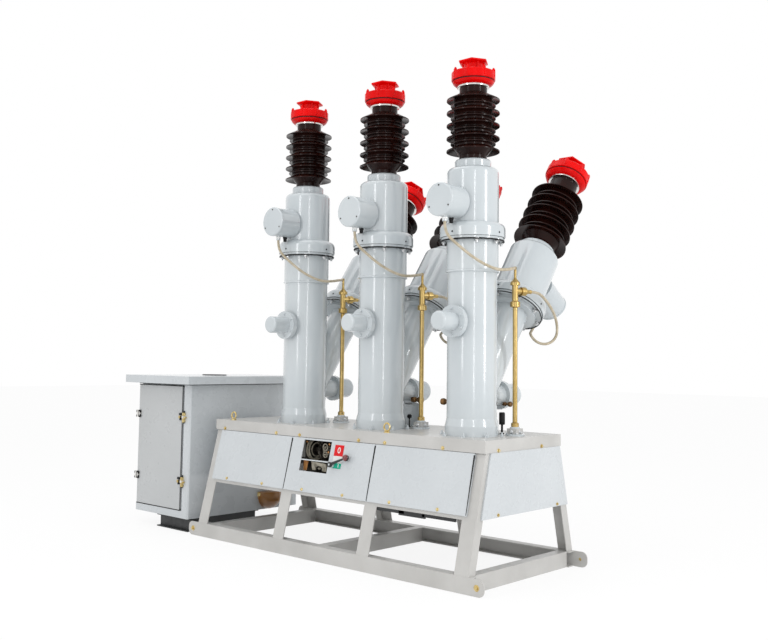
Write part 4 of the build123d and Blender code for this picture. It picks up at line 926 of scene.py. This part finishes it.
# Painted shadow: a dark strip where the front frame and the right wall meet the lid
LID_LOW, LID_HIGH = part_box("cabinet_lid")
SHADOW_SEAM_BOTTOM = LID_LOW.z - 0.007
bm = bmesh.new()
plate_xz(bm, [(CABINET_LOW.x, SHADOW_SEAM_BOTTOM), (CABINET_HIGH.x, SHADOW_SEAM_BOTTOM), (CABINET_HIGH.x, LID_LOW.z),
              (CABINET_LOW.x, LID_LOW.z)], FACE_Y - 0.0008, FACE_Y + 0.0012)
wall = Matrix.Translation((CABINET_HIGH.x, 0, 0)) @ Matrix.Rotation(pi / 2, 4, "Z")
slab(bm, [(FACE_Y, -0.001), (CABINET_HIGH.y, -0.001), (CABINET_HIGH.y, 0.001), (FACE_Y, 0.001)], wall,
     SHADOW_SEAM_BOTTOM, LID_LOW.z)
piece("lid_shadow_seam", bm, BLACK_RUBBER_AND_SHADE)

# Low dark vent on the lid
bm = bmesh.new()
vent = Matrix.Translation((-1.53, -0.03, LID_HIGH.z))
slab(bm, rounded(0.16, 0.10, 0.010), vent, -0.001, 0.006)
piece("lid_vent", bm, BLACK_PAINT, bevel=0.001)

# Bolt on the drive link's cover
bm = bmesh.new()
hex_bolt(bm, aim((CABINET_HIGH.x + 0.004, 0.134, 0.188), (1, -0.6, 0)), 0.022, 0.012, stud=0.006)
piece("drive_cover_bolt", bm, YELLOW_ZINC)


# Floor, light and camera
FLOOR_TONE = 0.94
FLOOR_GLOW = 0.88
FLOOR_DROP = 0.0005
WORLD_STRENGTH = 0.84


def lamp(name, size, power, place, target):
    data = bpy.data.lights.new(name, "AREA")
    data.shape = "RECTANGLE"
    data.size, data.size_y = size
    data.energy = power
    made = bpy.data.objects.new(name, data)
    made.location = place
    way = Vector(target) - Vector(place)
    made.rotation_mode = "QUATERNION"
    made.rotation_quaternion = way.to_track_quat("-Z", "Y")
    scene.collection.objects.link(made)


def background_rays(tree):
    """One for the rays that see the background: camera, glossy and transmission."""
    seen = tree.nodes.new("ShaderNodeLightPath")
    value = seen.outputs["Is Camera Ray"]
    for kind in ("Is Glossy Ray", "Is Transmission Ray"):
        value = calculated(tree, "MAXIMUM", value, seen.outputs[kind])
    return value


def mixed_shader(tree, share, first, second, output):
    """Feed an output from two shaders."""
    mix = tree.nodes.new("ShaderNodeMixShader")
    tree.links.new(share, mix.inputs["Fac"])
    tree.links.new(first, mix.inputs[1])
    tree.links.new(second, mix.inputs[2])
    tree.links.new(mix.outputs["Shader"], tree.nodes[output].inputs["Surface"])


def pale_floor():
    bm = bmesh.new()
    bmesh.ops.create_grid(bm, x_segments=1, y_segments=1, size=30)
    mesh = bpy.data.meshes.new("floor")
    bm.to_mesh(mesh)
    bm.free()
    made = bpy.data.objects.new("floor", mesh)
    made.location.z = -FLOOR_DROP
    scene.collection.objects.link(made)
    material = bpy.data.materials.new("floor")
    material.use_nodes = True
    tree = material.node_tree
    shader = tree.nodes["Principled BSDF"]
    shader.inputs["Base Color"].default_value = (FLOOR_TONE, FLOOR_TONE, FLOOR_TONE, 1)
    shader.inputs["Roughness"].default_value = 0.9
    glow = tree.nodes.new("ShaderNodeEmission")
    share = calculated(tree, "MULTIPLY", background_rays(tree), FLOOR_GLOW)
    mixed_shader(tree, share, shader.outputs["BSDF"], glow.outputs["Emission"], "Material Output")
    mesh.materials.append(material)
    made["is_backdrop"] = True


def white_world():
    world = bpy.data.worlds.new("studio")
    scene.world = world
    world.use_nodes = True
    tree = world.node_tree
    light = tree.nodes["Background"]
    white = tree.nodes.new("ShaderNodeBackground")
    for background, strength in ((light, WORLD_STRENGTH), (white, 1.0)):
        background.inputs["Color"].default_value = (1, 1, 1, 1)
        background.inputs["Strength"].default_value = strength
    mixed_shader(tree, background_rays(tree), light.outputs["Background"], white.outputs["Background"],
                 "World Output")


pale_floor()
white_world()
lamp("key", (0.7, 3.2), 34, (0.2, -5.4, 2.6), (0.0, 0.0, 1.2))
lamp("side", (0.6, 3.0), 68, (5.4, 0.4, 2.4), (0.2, 0.0, 1.3))
lamp("strip", (0.25, 3.0), 20, (4.2, -3.4, 2.2), (0.2, 0.0, 1.4))
lamp("top", (4.0, 3.0), 52, (-0.5, -1.0, 5.2), (0.0, 0.0, 0.6))

CAMERA_PLACE = (3.8964, -4.1925, 1.1217)
CAMERA_TURN = radians(42.437)
CAMERA_RISE = radians(4.531)
CAMERA_ROLL = radians(0.732)
SENSOR_WIDTH = 36
PHOTO_WIDTH = 768
FOCAL_PIXELS = 943.3
SHIFT_PIXELS = 34
forward = Vector((-sin(CAMERA_TURN) * cos(CAMERA_RISE), cos(CAMERA_TURN) * cos(CAMERA_RISE), sin(CAMERA_RISE)))
level = Vector((cos(CAMERA_TURN), sin(CAMERA_TURN), 0))
above = level.cross(forward)
right = level * cos(CAMERA_ROLL) + above * sin(CAMERA_ROLL)
above = right.cross(forward)
camera_data = bpy.data.cameras.new("camera")
camera_data.sensor_width = SENSOR_WIDTH
camera_data.lens = FOCAL_PIXELS / PHOTO_WIDTH * SENSOR_WIDTH
camera_data.shift_y = -SHIFT_PIXELS / PHOTO_WIDTH
camera = bpy.data.objects.new("camera", camera_data)
camera.matrix_world = Matrix.Translation(CAMERA_PLACE) @ Matrix((right, above, -forward)).transposed().to_4x4()
scene.collection.objects.link(camera)
scene.camera = camera
scene.view_settings.view_transform = "Standard"

low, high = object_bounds()
